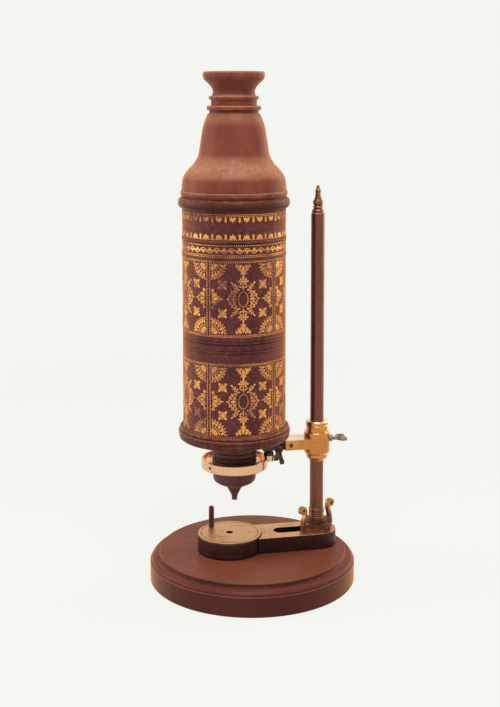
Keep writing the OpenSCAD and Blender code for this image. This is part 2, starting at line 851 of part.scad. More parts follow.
// Grub screw through the ring's band that steadies the collar
module ring_screw() {
    inner = neck_r + fit + 0.7;
    outer = ring_r - 0.5;
    slot = 0.5;
    color(iron)
    at_tube(ring_z + ring_h / 2)
    rotate([0, 90, ring_screw_turn])
    difference() {
        translate([0, 0, inner]) cylinder(h = outer - inner, r = ring_screw_r, $fn = 32);
        translate([-slot / 2, -ring_screw_r - 1, outer - 0.7])
            cube([slot, 2 * ring_screw_r + 2, 2]);
    }
}

// Threaded neck between the ring and the barrel's flange
module neck_screw() {
    collar_low = flange_z - 2.9;
    collar_high = flange_z - play;
    spigot_top = flange_z + flange_floor + 1;
    threads = floor((collar_low - neck_z - 1) / neck_lead);
    color(dark_wood)
    at_tube()
    turned(concat(
        [[neck_socket, neck_z], [neck_r, neck_z]],
        [
            for (i = [0:threads - 1], k = [[0.55, 0], [0.7, 1], [0.85, 1], [1, 0]])
                [neck_r - neck_thread * k[1], neck_z + (i + k[0]) * neck_lead]
        ],
        [[neck_r, collar_low]],
        arc([neck_collar_r - 1, (collar_low + collar_high) / 2], 1, (collar_high - collar_low) / 2,
            -90, 90, 6),
        [[flange_hole, collar_high], [flange_hole, spigot_top], [neck_bore, spigot_top]],
        [[neck_bore, neck_z + neck_socket_h + 0.5], [neck_socket, neck_z + neck_socket_h + 0.5]]
    ));
}

// Outline of the snout: share of its widening from the tip and share of its height
snout_shape = [
    [0, 0.071], [0.029, 0.147], [0.115, 0.242], [0.23, 0.357], [0.439, 0.452],
    [0.755, 0.532], [0.95, 0.615], [1, 0.714]
];

// Nosepiece that tapers to the small objective
module snout() {
    widening = snout_r - tip_r;
    wide_z = snout_tip + snout_h * snout_shape[len(snout_shape) - 1][1];
    spigot_r = neck_socket - fit;
    bore = spigot_r - 2.4;
    color(dark_wood)
    at_tube()
    turned(concat(
        [[0.9, snout_tip], [tip_r, snout_tip]],
        curve([for (p = snout_shape) [tip_r + widening * p[0], snout_tip + snout_h * p[1]]]),
        [[snout_r, snout_top - play], [spigot_r, snout_top - play]],
        [[spigot_r, snout_top + neck_socket_h], [bore, snout_top + neck_socket_h]],
        [[bore, wide_z], [objective_r + glue, objective_z + 4.4]],
        [[objective_r + glue, objective_z], [0.9, objective_z - 0.6]]
    ));
}

// Small round lens at the snout's tip
module objective_lens() {
    edge = 0.6;
    radius = 4.4;
    middle = objective_z + 1.1;
    sag = radius - sqrt(radius * radius - objective_r * objective_r);
    color(glass)
    at_tube(middle)
    intersection() {
        translate([0, 0, radius - sag - edge / 2]) sphere(r = radius, $fn = 64);
        translate([0, 0, sag + edge / 2 - radius]) sphere(r = radius, $fn = 64);
        cylinder(h = 4, r = objective_r, center = true, $fn = 48);
    }
}

// Split wire ring that keeps the objective in its seat
module objective_ring() {
    color(brass)
    at_tube(objective_z + 2.2) tube(objective_r, objective_r - 0.7, 0.6);
}

// Turned flange with three reeds, a socket for the barrel and a floor for the neck
module barrel_flange() {
    top = flange_z + flange_h;
    out = barrel_r + flange_out;
    step = flange_h / 3.3;
    core = out - 1;
    lip_drop = 1.2;
    spigot_in = bore_r - 4;
    spigot_top = tube_z + flange_spigot_h;
    color(wood)
    at_tube()
    turned(concat(
        [[flange_hole + fit, flange_z], [core - 1.2, flange_z]],
        bead(core - 0.4, flange_z + step * 0.75, 0.8, step * 0.5, 6),
        bead(core, flange_z + step * 1.75, 1, step * 0.5, 6),
        bead(core - 0.9, flange_z + step * 2.7, 0.9, step * 0.42, 6),
        [[core - 1.6, top], [barrel_r + glue, top - lip_drop], [barrel_r + glue, tube_z]],
        [[bore_r - glue, tube_z], [bore_r - glue, spigot_top], [spigot_in, spigot_top]],
        [[spigot_in, tube_z], [flange_hole + fit, tube_z]]
    ));
}

// Pasteboard tube
module barrel_tube() {
    color(board)
    at_tube(tube_z) tube(board_r, bore_r, barrel_len);
}

// Blind lines round the leather: share of the barrel's length, half their width and their depth
blind_lines = [[0.451, 0.35, 0.12], [0.466, 0.35, 0.12], [0.496, 0.7, 0.25], [0.509, 0.35, 0.12]];

// Leather cover with blind lines round its middle and two cords under it at the top
module barrel_leather() {
    cord_half = 1.2;
    upper = barrel_top - cord_half;
    lower = upper - cord_gap;
    color(leather)
    at_tube()
    turned(concat(
        [[board_r + glue, tube_z], [barrel_r, tube_z]],
        [
            for (line = blind_lines, k = [-1:1])
                [barrel_r - line[2] * (1 - abs(k)), tube_z + barrel_len * line[0] + line[1] * k]
        ],
        bead(barrel_r, lower, cord_out, cord_half, 6),
        bead(barrel_r, upper, cord_out, cord_half, 6),
        [[board_r + glue, barrel_top]]
    ));
}

// Pasteboard draw tube inside the barrel
module draw_tube() {
    color(board)
    at_tube(band_z - draw_in) tube(draw_r, draw_bore, draw_in + band_h + 2.8);
}

// Pasteboard collar on the draw tube, under the leather band
module draw_collar() {
    color(board)
    at_tube(band_z) tube(board_r, draw_r + glue, band_h);
}

// Leather band above the barrel
module draw_leather() {
    color(leather)
    at_tube(band_z) tube(barrel_r, board_r + glue, band_h + ring_skirt_h);
}

// Blackened card ring that trims the image's edge
module field_stop() {
    stop_h = 1.6;
    color([0.1, 0.09, 0.08])
    at_tube(band_z - draw_in / 2) tube(draw_bore - glue, stop_r, stop_h);
}

// Bold half-round wooden ring at the draw tube's top, with the field lens's seat
module top_ring() {
    seat_low = field_z - 2;
    neck_h = 1.1;
    seam = top_ring_z + ring_skirt_h;
    half = (bell_z - seam - neck_h) / 2;
    color(wood)
    at_tube()
    turned(concat(
        [[draw_r + glue, top_ring_z], [board_r, top_ring_z], [board_r, seam], [barrel_r - 0.2, seam]],
        arc([barrel_r + 0.3, seam + half], top_ring_out - 0.3, half, -90, 90, 14),
        [[barrel_r + 0.3, bell_z], [bell_spigot_r + glue, bell_z]],
        [[bell_spigot_r + glue, bell_z - bell_spigot_h], [field_r + glue, bell_z - bell_spigot_h]],
        [[field_r + glue, field_z], [field_r - 2.4, field_z], [field_r - 2.4, seat_low]],
        [[draw_r + glue, seat_low]]
    ));
}

// Plano-convex field lens
module field_lens() {
    radius = (field_r * field_r + field_sag * field_sag) / (2 * field_sag);
    color(glass)
    at_tube(field_z)
    intersection() {
        translate([0, 0, lens_edge + field_sag - radius]) sphere(r = radius, $fn = 360);
        cylinder(h = lens_edge + field_sag + 1, r = field_r, $fn = 96);
    }
}

// Card ring between the field lens and the bell's spigot
module field_ring() {
    color(board)
    at_tube(bell_z - bell_spigot_h - field_ring_h) tube(field_r, field_r - 2, field_ring_h);
}

// Outline of the bell: share of its flare outwards and share of its height
bell_shape = [
    [0.995, 0.074], [0.979, 0.161], [0.923, 0.235], [0.768, 0.309], [0.557, 0.383], [0.412, 0.457],
    [0.34, 0.529], [0.273, 0.677], [0.196, 0.824], [0.134, 0.898], [0.036, 0.97], [0, 1]
];

// Outline of the bell's hollow: share of its flare outwards and share of the bell's height
hollow_shape = [[0.205, 0.55], [0.381, 0.4], [0.824, 0.235], [1, 0.12]];

// Turned bell with a hollow inside
module bell_cap() {
    base_r = barrel_r + 0.4;
    flare = base_r - bell_top_r;
    spigot_in = bell_spigot_r - 3.4;
    socket_in = eye_spigot_r - 2.5;
    socket_low = bell_top - eye_spigot_h - 0.5;
    color(wood)
    at_tube()
    turned(concat(
        [[bell_spigot_r, bell_z - bell_spigot_h], [bell_spigot_r, bell_z], [base_r, bell_z]],
        bead(base_r, bell_z + 2, 0.95, 1.8, 6),
        curve([for (p = bell_shape) [bell_top_r + flare * p[0], bell_z + bell_h * p[1]]]),
        [[eye_spigot_r + glue, bell_top], [eye_spigot_r + glue, socket_low]],
        [[socket_in, socket_low]],
        curve(concat(
            [[socket_in, socket_low - 1]],
            [
                for (p = hollow_shape)
                    [socket_in + (spigot_in - socket_in) * p[0], bell_z + bell_h * p[1]]
            ]
        )),
        [[spigot_in, bell_z - bell_spigot_h]]
    ));
}

// Wooden collar that holds the eye lens and takes the eye cup's thread
module eye_collar() {
    low = bell_top - eye_spigot_h;
    step_h = collar_h * 0.42;
    top = collar_z + collar_h;
    half = (collar_h - step_h) / 2;
    socket_z = eye_ring_z + eye_ring_h;
    color(wood)
    at_tube()
    turned(concat(
        [[eye_ledge_r, low], [eye_spigot_r, low], [eye_spigot_r, collar_z]],
        [[collar_r - 2, collar_z], [collar_r - 1.9, collar_z + step_h]],
        arc([collar_r - 1, top - half], 1, half, -90, 90, 8),
        [[cup_spigot_r + fit, top], [cup_spigot_r + fit, socket_z], [eye_lens_r + glue, socket_z]],
        [[eye_lens_r + glue, eye_seat_z - play]],
        [[eye_ledge_r, eye_seat_z - play - eye_ledge_drop]]
    ));
}

// Biconvex eye lens
module eye_lens() {
    pole = eye_sag + eye_edge / 2;
    color(glass)
    at_tube(eye_seat_z + eye_edge / 2)
    intersection() {
        translate([0, 0, eye_curve - pole]) sphere(r = eye_curve, $fn = 360);
        translate([0, 0, pole - eye_curve]) sphere(r = eye_curve, $fn = 360);
        cylinder(h = 2 * eye_sag + eye_edge + 1, r = eye_lens_r, center = true, $fn = 64);
    }
}

// Wire ring over the eye lens's edge
module eye_ring() {
    color(brass)
    at_tube(eye_ring_z) tube(eye_lens_r, eye_lens_r - 1.4, eye_ring_h);
}

// Flared eye cup that screws into the collar
module eye_cup() {
    spigot_low = eye_ring_z + eye_ring_h + play;
    bead_out = 1.6;
    rim = 1.6;
    rim_h = 2.4;
    color(wood)
    at_tube()
    turned(concat(
        [[eye_hole_r, spigot_low], [cup_spigot_r, spigot_low], [cup_spigot_r, cup_z]],
        [[cup_neck_r, cup_z], [cup_neck_r, cup_z + cup_h * 0.171]],
        arc([cup_neck_r + bead_out - 1, cup_z + cup_h * 0.228], 1, cup_h * 0.055, -90, 90, 8),
        curve([
            [cup_neck_r - 0.6, cup_z + cup_h * 0.289], [waist_r, cup_z + cup_h * 0.35],
            [waist_r, cup_z + cup_h * 0.455], [waist_r + 1.5, cup_z + cup_h * 0.565],
            [cup_r - 3.6, cup_z + cup_h * 0.659], [cup_r - 1.3, cup_z + cup_h * 0.748],
            [cup_r - 0.3, cup_z + cup_h * 0.837]
        ]),
        arc([cup_r - rim, cup_top - rim_h], rim, rim_h, 0, 90, 6),
        curve([
            [cup_r - rim - 0.6, cup_top - 0.3], [cup_r - 3.6, cup_z + cup_h * 0.854],
            [cup_r - 6.4, cup_z + cup_h * 0.667], [eye_hole_r + 5, cup_z + cup_h * 0.488],
            [eye_hole_r + 1.2, cup_z + cup_h * 0.382], [eye_hole_r, cup_z + cup_h * 0.333]
        ])
    ));
}

base_foot();
pillar();
pillar_washer();
pillar_nut();
pillar_finial();
slot_slider();
stage_arm();
stage_drum();
stage_plate();
pivot_washer();
specimen_pin();
wing_nut();
inner_sleeve();
sleeve_cap();
arm_bar();
sleeve_screw();
jaw_block();
jaw_cap();
jaw_rivet();
jaw_screw();
ball();
ball_stem();
ring();
ring_screw();
neck_screw();
snout();
objective_lens();
objective_ring();
barrel_flange();
barrel_tube();
barrel_leather();
draw_tube();
draw_collar();
draw_leather();
field_stop();
top_ring();
field_lens();
field_ring();
bell_cap();
eye_collar();
eye_lens();
eye_ring();
eye_cup();
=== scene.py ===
import json
from math import ceil, cos, dist, pi, radians, sin

import bmesh
import bpy
from bpy.props import FloatProperty, FloatVectorProperty
from mathutils import Matrix, Vector


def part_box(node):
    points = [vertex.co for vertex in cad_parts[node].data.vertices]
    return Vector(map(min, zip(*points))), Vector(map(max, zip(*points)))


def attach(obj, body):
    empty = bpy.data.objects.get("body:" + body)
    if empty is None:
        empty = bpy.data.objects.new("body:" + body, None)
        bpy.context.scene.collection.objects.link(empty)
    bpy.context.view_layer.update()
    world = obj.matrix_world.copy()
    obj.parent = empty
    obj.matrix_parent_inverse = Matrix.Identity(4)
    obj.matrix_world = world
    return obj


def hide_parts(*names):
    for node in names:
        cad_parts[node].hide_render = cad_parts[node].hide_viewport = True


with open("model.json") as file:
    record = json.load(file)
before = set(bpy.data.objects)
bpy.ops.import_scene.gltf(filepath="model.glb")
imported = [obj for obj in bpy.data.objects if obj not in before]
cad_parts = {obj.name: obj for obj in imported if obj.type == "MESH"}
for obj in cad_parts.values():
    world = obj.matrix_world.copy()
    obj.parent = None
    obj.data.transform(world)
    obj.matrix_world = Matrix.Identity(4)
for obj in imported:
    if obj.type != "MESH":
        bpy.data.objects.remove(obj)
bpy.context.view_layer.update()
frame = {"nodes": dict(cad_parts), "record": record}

bl_info = {
    "name": "Compound microscope finish",
    "version": (1, 0, 0),
    "blender": (4, 5, 0),
    "location": "3D View > Sidebar > Microscope",
    "description": "Dresses a compound microscope in turned wood, brass and gilt leather",
    "category": "Object",
}

MM = 0.001
LEATHER_LOW, LEATHER_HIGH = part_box("barrel_leather")
TUBE_X = (LEATHER_LOW.x + LEATHER_HIGH.x) / 2
BARREL_R = 0.038

# Gilt tooling: turn of one panel and of the first, rows as name, middle and half height in millimetres,
# half width that parts narrow from wide panels, and gap and width of the plain lines
PANEL_TURN = radians(77.4)
FIRST_PANEL = radians(-91.3)
PANEL_ROWS = (("upper_gilt_panels", 218.2, 26.8), ("lower_gilt_panels", 144.3, 26.6))
NARROW_PANEL = 20
LINE_OFF, LINE_WIDE = 0.4, 0.28

# In metres: how far the painted shadows under the cords lie below the leather's top, and the height of the
# stage arm's thin end
CORD_SHADOWS = (0.0022, 0.0137)
THIN_END = 0.0036

# Worked meshes: bend per metre where wear starts and is full, least span, weld and flat angle
FLAT_BEND, SHARP_BEND = 180.0, 1500.0
LEAST_APART = 0.00005
WELD = 0.000002
EVEN = radians(0.1)

# Sheen colours
GLOW = (1.0, 0.36, 0.09, 1)
BRASS_GLOW = (1.0, 0.38, 0.12, 1)
GOLD_GLOW = (1.0, 0.40, 0.12, 1)

# Camera, fitted to the photograph
CAMERA_AT = (-0.1825, -0.8585, 0.3621)
CAMERA_TURN = (radians(84), 0, radians(-12))
CAMERA_SHIFT = (-0.0031, -0.1877)

# Soft lights: name, place, aim, width and height, the setting for the power, share of it, and colour
WHITE = (1.0, 1.0, 1.0)
LAMPS = (
    ("top_box", (-0.08, -0.45, 1.15), (-0.02, 0.0, 0.2), (0.55, 0.45), "top", 1.0, WHITE),
    ("left_box", (-1.0, 0.25, 0.45), (-0.01, 0.0, 0.2), (0.7, 1.0), "side", 1.1, WHITE),
    ("right_box", (0.95, 0.30, 0.45), (0.0, 0.0, 0.2), (0.7, 1.0), "side", 1.15, (1.0, 0.88, 0.70)),
    ("front_lamp", (-0.16, -1.0, 1.0), (-0.01, 0.0, 0.25), (0.05, 0.05), "lamp", 1.0, WHITE),
)


# Sizes and colours

def colour(name, about, value):
    return FloatVectorProperty(name=name, description=about, subtype="COLOR", size=3, min=0, max=1,
                               default=value)


def length(name, about, value, low, high):
    return FloatProperty(name=name, description=about, unit="LENGTH", default=value, min=low, max=high,
                         precision=5)


def power(name, about, value, most):
    return FloatProperty(name=name, description=about, unit="POWER", default=value, min=0, max=most)


class MicroscopeWood(bpy.types.PropertyGroup):
    pale: colour("Pale wood", "Colour between the dark streaks", (0.285, 0.074, 0.043))
    deep: colour("Deep wood", "Colour of the dark streaks", (0.125, 0.028, 0.024))
    foot_pale: colour("Pale foot wood", "Colour between the foot's dark streaks", (0.186, 0.0405, 0.0285))
    foot_deep: colour("Deep foot wood", "Colour of the foot's dark streaks", (0.066, 0.015, 0.016))
    rubbed: colour("Rubbed wood", "Colour where hands have rubbed the beads", (0.42, 0.17, 0.085))
    # Painted highlight on the bell's upward slopes, standing in for the top light's reflection
    top_highlight: colour("Faded wood", "Colour of the bell's slopes that light has faded", (0.47, 0.235, 0.125))
    dark_pale: colour("Pale dark wood", "Lighter colour of the neck and snout", (0.185, 0.068, 0.056))
    dark_deep: colour("Deep dark wood", "Darker colour of the neck and snout", (0.062, 0.024, 0.026))
    # Real wax and grime in the pores, and also painted shade in the grooves and corners
    dirt: colour("Wax in the grooves", "Colour of old wax and dirt", (0.030, 0.010, 0.008))
    gloss: FloatProperty(name="Roughness", description="Roughness of the waxed wood", subtype="FACTOR",
                         default=0.40, min=0, max=1)


class MicroscopeBrass(bpy.types.PropertyGroup):
    warm: colour("Warm brass", "Colour of the orange lacquered brass", (0.72, 0.287, 0.078))
    tan: colour("Tan brass", "Colour of the worn tops of the stage", (0.66, 0.35, 0.155))
    pale: colour("Pale brass", "Colour of the polished ring", (0.80, 0.465, 0.275))
    # Painted reflection of the top light on the tops of the sleeve, its cap and the bar, and also the
    # colour of the ring's rubbed edges
    pink_reflection_and_rub: colour("Pink brass", "Colour of the polished tops of the bar", (0.92, 0.68, 0.56))
    olive: colour("Olive brass", "Colour of the thumb screw", (0.26, 0.20, 0.115))
    brown: colour("Brown lacquer", "Colour of the dark lacquered brass", (0.185, 0.067, 0.051))
    # The drum's own dark lacquer, and also painted shade on the upright sides of the stage arm, disc and
    # washer
    sides: colour("Dark sides", "Colour of the drum and of the stage arm's sides", (0.068, 0.030, 0.028))
    scroll: colour("Nut brass", "Colour of the wing nut's block", (0.115, 0.051, 0.038))
    ears: colour("Scroll brass", "Colour of the wing nut's two scroll ears", (0.42, 0.19, 0.070))
    rubbed: colour("Rubbed brown", "Colour of the dark brass on its edges", (0.46, 0.20, 0.075))
    tarnish: colour("Tarnish", "Colour of the tarnished places", (0.12, 0.052, 0.022))
    iron: colour("Iron", "Colour of the blackened iron", (0.038, 0.023, 0.021))


class MicroscopeLeather(bpy.types.PropertyGroup):
    calf: colour("Leather", "Colour of the dark leather", (0.115, 0.026, 0.030))
    calf_deep: colour("Deep leather", "Colour of the darker patches", (0.060, 0.016, 0.022))
    scuff: colour("Scuffed leather", "Colour of the rubbed cords and edges", (0.30, 0.11, 0.05))
    gold: colour("Gold leaf", "Colour of sound gold leaf", (0.85, 0.42, 0.078))
    rose: colour("Rosy gold leaf", "Colour where the leaf turns reddish", (0.76, 0.31, 0.11))
    old_gold: colour("Worn gold leaf", "Colour where the leaf has worn thin", (0.45, 0.165, 0.075))
    relief: length("Leaf height", "How far the tooling stands over the leather", 0.00010, 0.00003, 0.0004)
    sunk: length("Leaf depth", "How far the tooling goes into the leather", 0.00008, 0.00002, 0.0004)
    pearl: length("Pearl spacing", "Distance between two pearls of a border", 0.00160, 0.0008, 0.003)


class MicroscopeStudio(bpy.types.PropertyGroup):
    paper: colour("Paper", "Colour of the pale ground", (0.905, 0.914, 0.871))
    world: FloatProperty(name="Room light", description="Strength of the even light of the room",
                         default=0.42, min=0, max=2)
    top: power("Top light", "Power of the soft box above", 8.0, 60)
    side: power("Side light", "Power of each soft box at the sides", 5.0, 60)
    lamp: power("Front lamp", "Power of the small lamp near the camera", 0.8, 20)
    lens: FloatProperty(name="Lens", description="Focal length of the camera in millimetres",
                        unit="CAMERA", default=61.116, min=20, max=200)


# Nodes and shared effects

def put(tree, socket, value):
    """Links a value to a socket or sets it there"""
    if isinstance(value, bpy.types.NodeSocket):
        tree.links.new(value, socket)
    else:
        socket.default_value = value


def fill(tree, sockets, **values):
    """Sets or links sockets by name, where an underscore stands for a space"""
    for name, value in values.items():
        put(tree, sockets[name.replace("_", " ")], value)


def add(tree, kind, values=None, **settings):
    """Adds a node, sets its settings and fills its sockets with values or links"""
    made = tree.nodes.new(kind)
    for name, value in settings.items():
        setattr(made, name, value)
    for name, value in (values or {}).items():
        put(tree, made.inputs[name], value)
    return made


def maths(tree, operation, first, second=0.5):
    return add(tree, "ShaderNodeMath", {0: first, 1: second}, operation=operation).outputs[0]


def times(tree, first, second):
    return maths(tree, "MULTIPLY", first, second)


def plus(tree, first, second):
    return maths(tree, "ADD", first, second)


def spread(tree, value, low, high, bottom=0.0, top=1.0):
    """Stretches a value between two limits to another range"""
    made = add(tree, "ShaderNodeMapRange")
    fill(tree, made.inputs, Value=value, From_Min=low, From_Max=high, To_Min=bottom, To_Max=top)
    return made.outputs[0]


def along_z(tree, vector):
    return add(tree, "ShaderNodeSeparateXYZ", {0: vector}).outputs[2]


def mapped(tree, vector, turn=(0, 0, 0), scale=(1, 1, 1)):
    return add(tree, "ShaderNodeMapping", {"Vector": vector, "Rotation": turn, "Scale": scale}).outputs[0]


def noise(tree, vector, scale, detail=3.0, roughness=0.55):
    return add(tree, "ShaderNodeTexNoise",
               {"Vector": vector, "Scale": scale, "Detail": detail, "Roughness": roughness}).outputs[0]


def solid(value):
    """A colour with full alpha, or a socket as it is"""
    return value if isinstance(value, bpy.types.NodeSocket) else (*value[:3], 1)


def shaded(value, amount):
    """The same colour, darker or lighter"""
    return tuple(part * amount for part in value[:3])


def blend(tree, factor, first, second):
    return add(tree, "ShaderNodeMix", {0: factor, 6: solid(first), 7: solid(second)},
               data_type="RGBA").outputs[2]


def layered(tree, base, *layers):
    """Lays colours over a base: each layer is a mask, the share of it that shows, and its colour"""
    for mask, most, over in layers:
        base = blend(tree, times(tree, mask, most), base, over)
    return base


def effect(name, outputs, **amounts):
    """Starts a node group that takes a place and amounts and gives values"""
    tree = bpy.data.node_groups.new(name, "ShaderNodeTree")
    tree.interface.new_socket("Vector", in_out="INPUT", socket_type="NodeSocketVector")
    for title, value in amounts.items():
        tree.interface.new_socket(title.replace("_", " "), in_out="INPUT",
                                  socket_type="NodeSocketFloat").default_value = value
    for title in outputs:
        tree.interface.new_socket(title, in_out="OUTPUT", socket_type="NodeSocketFloat")
    return tree, tree.nodes.new("NodeGroupInput").outputs, tree.nodes.new("NodeGroupOutput").inputs


def wood_figure():
    """Streaks, fibres and pores that run along Z"""
    tree, given, gives = effect("wood_figure", ("Tone", "Pores", "Height"), Streaks=55.0)
    long = mapped(tree, given["Vector"], scale=(1, 1, 0.10))
    bands = noise(tree, long, given["Streaks"], 4, 0.6)
    finer = noise(tree, long, times(tree, given["Streaks"], 6), 3, 0.6)
    fibre = noise(tree, long, times(tree, given["Streaks"], 26), 2, 0.6)
    small = plus(tree, spread(tree, finer, 0.3, 0.7, 0, 0.26), spread(tree, fibre, 0.3, 0.7, 0, 0.12))
    dashes = add(tree, "ShaderNodeTexVoronoi",
                 {"Vector": long, "Scale": times(tree, given["Streaks"], 22)}).outputs[0]
    pores = times(tree, spread(tree, dashes, 0.10, 0.24, 1, 0), spread(tree, finer, 0.42, 0.60))
    fill(tree, gives, Tone=plus(tree, spread(tree, bands, 0.32, 0.68, 0, 0.62), small), Pores=pores,
         Height=maths(tree, "SUBTRACT", times(tree, fibre, 0.35), pores))
    return tree


def lathe_lines():
    """Fine rings left by the turner's tool round an upright axis"""
    tree, given, gives = effect("lathe_lines", ("Tone", "Height"), Axis_X=0.0, Lines=900.0)
    parts = add(tree, "ShaderNodeSeparateXYZ", {0: given["Vector"]}).outputs
    out = maths(tree, "SUBTRACT", parts[0], given["Axis X"])
    radius = maths(tree, "SQRT", plus(tree, times(tree, out, out), times(tree, parts[1], parts[1])))
    profile = add(tree, "ShaderNodeCombineXYZ", {0: radius, 1: parts[2]}).outputs[0]
    fine = noise(tree, profile, given["Lines"], 2, 0.7)
    broad = noise(tree, profile, times(tree, given["Lines"], 0.16), 2, 0.6)
    fill(tree, gives, Tone=spread(tree, broad, 0.3, 0.7), Height=fine)
    return tree


def cloudy():
    """Soft uneven patches, with a finer layer over them"""
    tree, given, gives = effect("cloudy", ("Broad", "Fine"), Patches=40.0)
    broad = noise(tree, given["Vector"], given["Patches"], 4, 0.6)
    fine = noise(tree, given["Vector"], times(tree, given["Patches"], 9), 4, 0.65)
    fill(tree, gives, Broad=spread(tree, broad, 0.34, 0.66), Fine=spread(tree, fine, 0.32, 0.68))
    return tree


def edge_rub():
    """Rubbed edges, and grime with painted shade in corners and grooves, from the wear of a piece and
    broken up by noise
    """
    tree, given, gives = effect("edge_rub", ("Rubbed", "Dirty"), Wear=0.0, Break=260.0)
    patchy = spread(tree, noise(tree, given["Vector"], given["Break"], 4, 0.65), 0.35, 0.65, -0.45, 0.25)
    rubbed = plus(tree, given["Wear"], patchy)
    # Grime and painted shade where the piece bends inwards
    dirt_and_shade_mask = plus(tree, times(tree, given["Wear"], -1.8), times(tree, patchy, 0.6))
    fill(tree, gives, Rubbed=spread(tree, rubbed, 0.12, 0.75), Dirty=spread(tree, dirt_and_shade_mask, 0.05, 0.6))
    return tree


def leather_grain():
    """Pebbled grain with fine creases"""
    tree, given, gives = effect("leather_grain", ("Height", "Creases"), Grain=1500.0)
    cells = add(tree, "ShaderNodeTexVoronoi", {"Vector": given["Vector"], "Scale": given["Grain"]},
                feature="SMOOTH_F1").outputs[0]
    creases = add(tree, "ShaderNodeTexVoronoi",
                  {"Vector": given["Vector"], "Scale": times(tree, given["Grain"], 0.28)},
                  feature="DISTANCE_TO_EDGE").outputs[0]
    lines = spread(tree, creases, 0.0, 0.09, 1, 0)
    pebbles = maths(tree, "SUBTRACT", 1, cells)
    fill(tree, gives, Height=maths(tree, "SUBTRACT", pebbles, times(tree, lines, 0.5)), Creases=lines)
    return tree


def scratches():
    """Thin polishing scratches in two directions"""
    tree, given, gives = effect("scratches", ("Lines",), Lines=420.0)
    found = []
    for turn in (0.5, 2.2):
        aimed = mapped(tree, given["Vector"], (turn, 0.3, turn), (1, 0.04, 1))
        found.append(spread(tree, noise(tree, aimed, given["Lines"], 2, 0.5), 0.60, 0.70))
    fill(tree, gives, Lines=maths(tree, "MAXIMUM", *found))
    return tree


shared = {}


def use(tree, make, **values):
    """Places a shared effect in a material with its own values"""
    if make not in shared:
        shared[make] = make()
    placed = add(tree, "ShaderNodeGroup", node_tree=shared[make])
    fill(tree, placed.inputs, **values)
    return placed.outputs


def rub_of(tree, place, **values):
    """Edge rub from the wear that a worked piece carries"""
    wear = add(tree, "ShaderNodeAttribute", attribute_name="wear").outputs["Fac"]
    return use(tree, edge_rub, Vector=place, Wear=wear, **values)


def upward_of(tree):
    """How far a face looks up: 1 on tops, 0 on upright sides, -1 on undersides"""
    return along_z(tree, add(tree, "ShaderNodeTexCoord").outputs["Normal"])


# Materials

def emptied(owner):
    """Gives a material or world an empty node tree"""
    owner.use_nodes = True
    owner.node_tree.nodes.clear()
    return owner.node_tree


def finish_of(name, **constants):
    """Starts a material and returns it with its tree, its shader and the place on the piece"""
    made = bpy.data.materials.new(name)
    tree = emptied(made)
    shader = add(tree, "ShaderNodeBsdfPrincipled")
    fill(tree, shader.inputs, **constants)
    add(tree, "ShaderNodeOutputMaterial", {"Surface": shader.outputs[0]})
    return made, tree, shader, add(tree, "ShaderNodeTexCoord").outputs["Object"]


def bumped(tree, shader, *layers):
    """Stacks heights into the normal: each layer is a height and its depth in metres"""
    values = {"Strength": 1.0}
    for height, depth in layers:
        values.update(Height=height, Distance=depth)
        values["Normal"] = add(tree, "ShaderNodeBump", values).outputs[0]
    fill(tree, shader.inputs, Normal=values["Normal"])


def wood_finish(name, look, pale, deep, axis_x, lying=False, streaks=55.0, polish=0.3, sheen=0.34,
                shade=(-0.9, 0.0, 0.6), top_highlight=None, worn=0.62, smoother=0.0):
    """Waxed wood with streaks, pores, tool rings, rubbed beads, grime and painted shade in grooves, and
    painted light by facing
    """
    made, tree, shader, place = finish_of(
        name, Specular_IOR_Level=0.07, Coat_Roughness=0.15, Coat_IOR=1.42, Sheen_Weight=sheen,
        Sheen_Tint=GLOW, Sheen_Roughness=0.36)
    laid = mapped(tree, place, (0, pi / 2 if lying else 0, 0.35))
    figure = use(tree, wood_figure, Vector=laid, Streaks=streaks)
    rings = use(tree, lathe_lines, Vector=place, Axis_X=axis_x)
    clouds = use(tree, cloudy, Vector=place, Patches=28.0)
    rub = rub_of(tree, place)
    # Grain and tone, real wear on the beads, grime in the pores, and grime with painted shade in the
    # grooves
    base = layered(tree, blend(tree, figure["Tone"], deep, pale), (clouds["Broad"], 0.38, deep),
                   (spread(tree, rings["Tone"], 0.55, 1), 0.22, deep), (figure["Pores"], 0.7, look.dirt),
                   (rub["Rubbed"], worn, look.rubbed), (rub["Dirty"], 0.85, look.dirt))
    upward = upward_of(tree)
    # Painted highlight: faces that look up take a lighter colour, broken into patches
    if top_highlight:
        patchy = spread(tree, clouds["Fine"], 0, 1, 0.75, 0.35)
        base = layered(tree, base, (spread(tree, upward, 0.22, 0.72), patchy, top_highlight))
    # Painted shade: faces that turn down or aside are darkened towards the deep colour
    low, high, most = shade
    base = layered(tree, base, (spread(tree, upward, low, high, 1, 0), most, shaded(deep, 0.5)))
    gloss = look.gloss - smoother
    rough = plus(tree, spread(tree, clouds["Fine"], 0, 1, gloss - 0.06, gloss + 0.10),
                 times(tree, figure["Pores"], 0.2))
    fill(tree, shader.inputs, Base_Color=base, Roughness=rough,
         Coat_Weight=spread(tree, clouds["Broad"], 0, 1, polish, polish * 0.5))
    bumped(tree, shader, (figure["Height"], 0.00006), (rings["Height"], 0.00004))
    return made


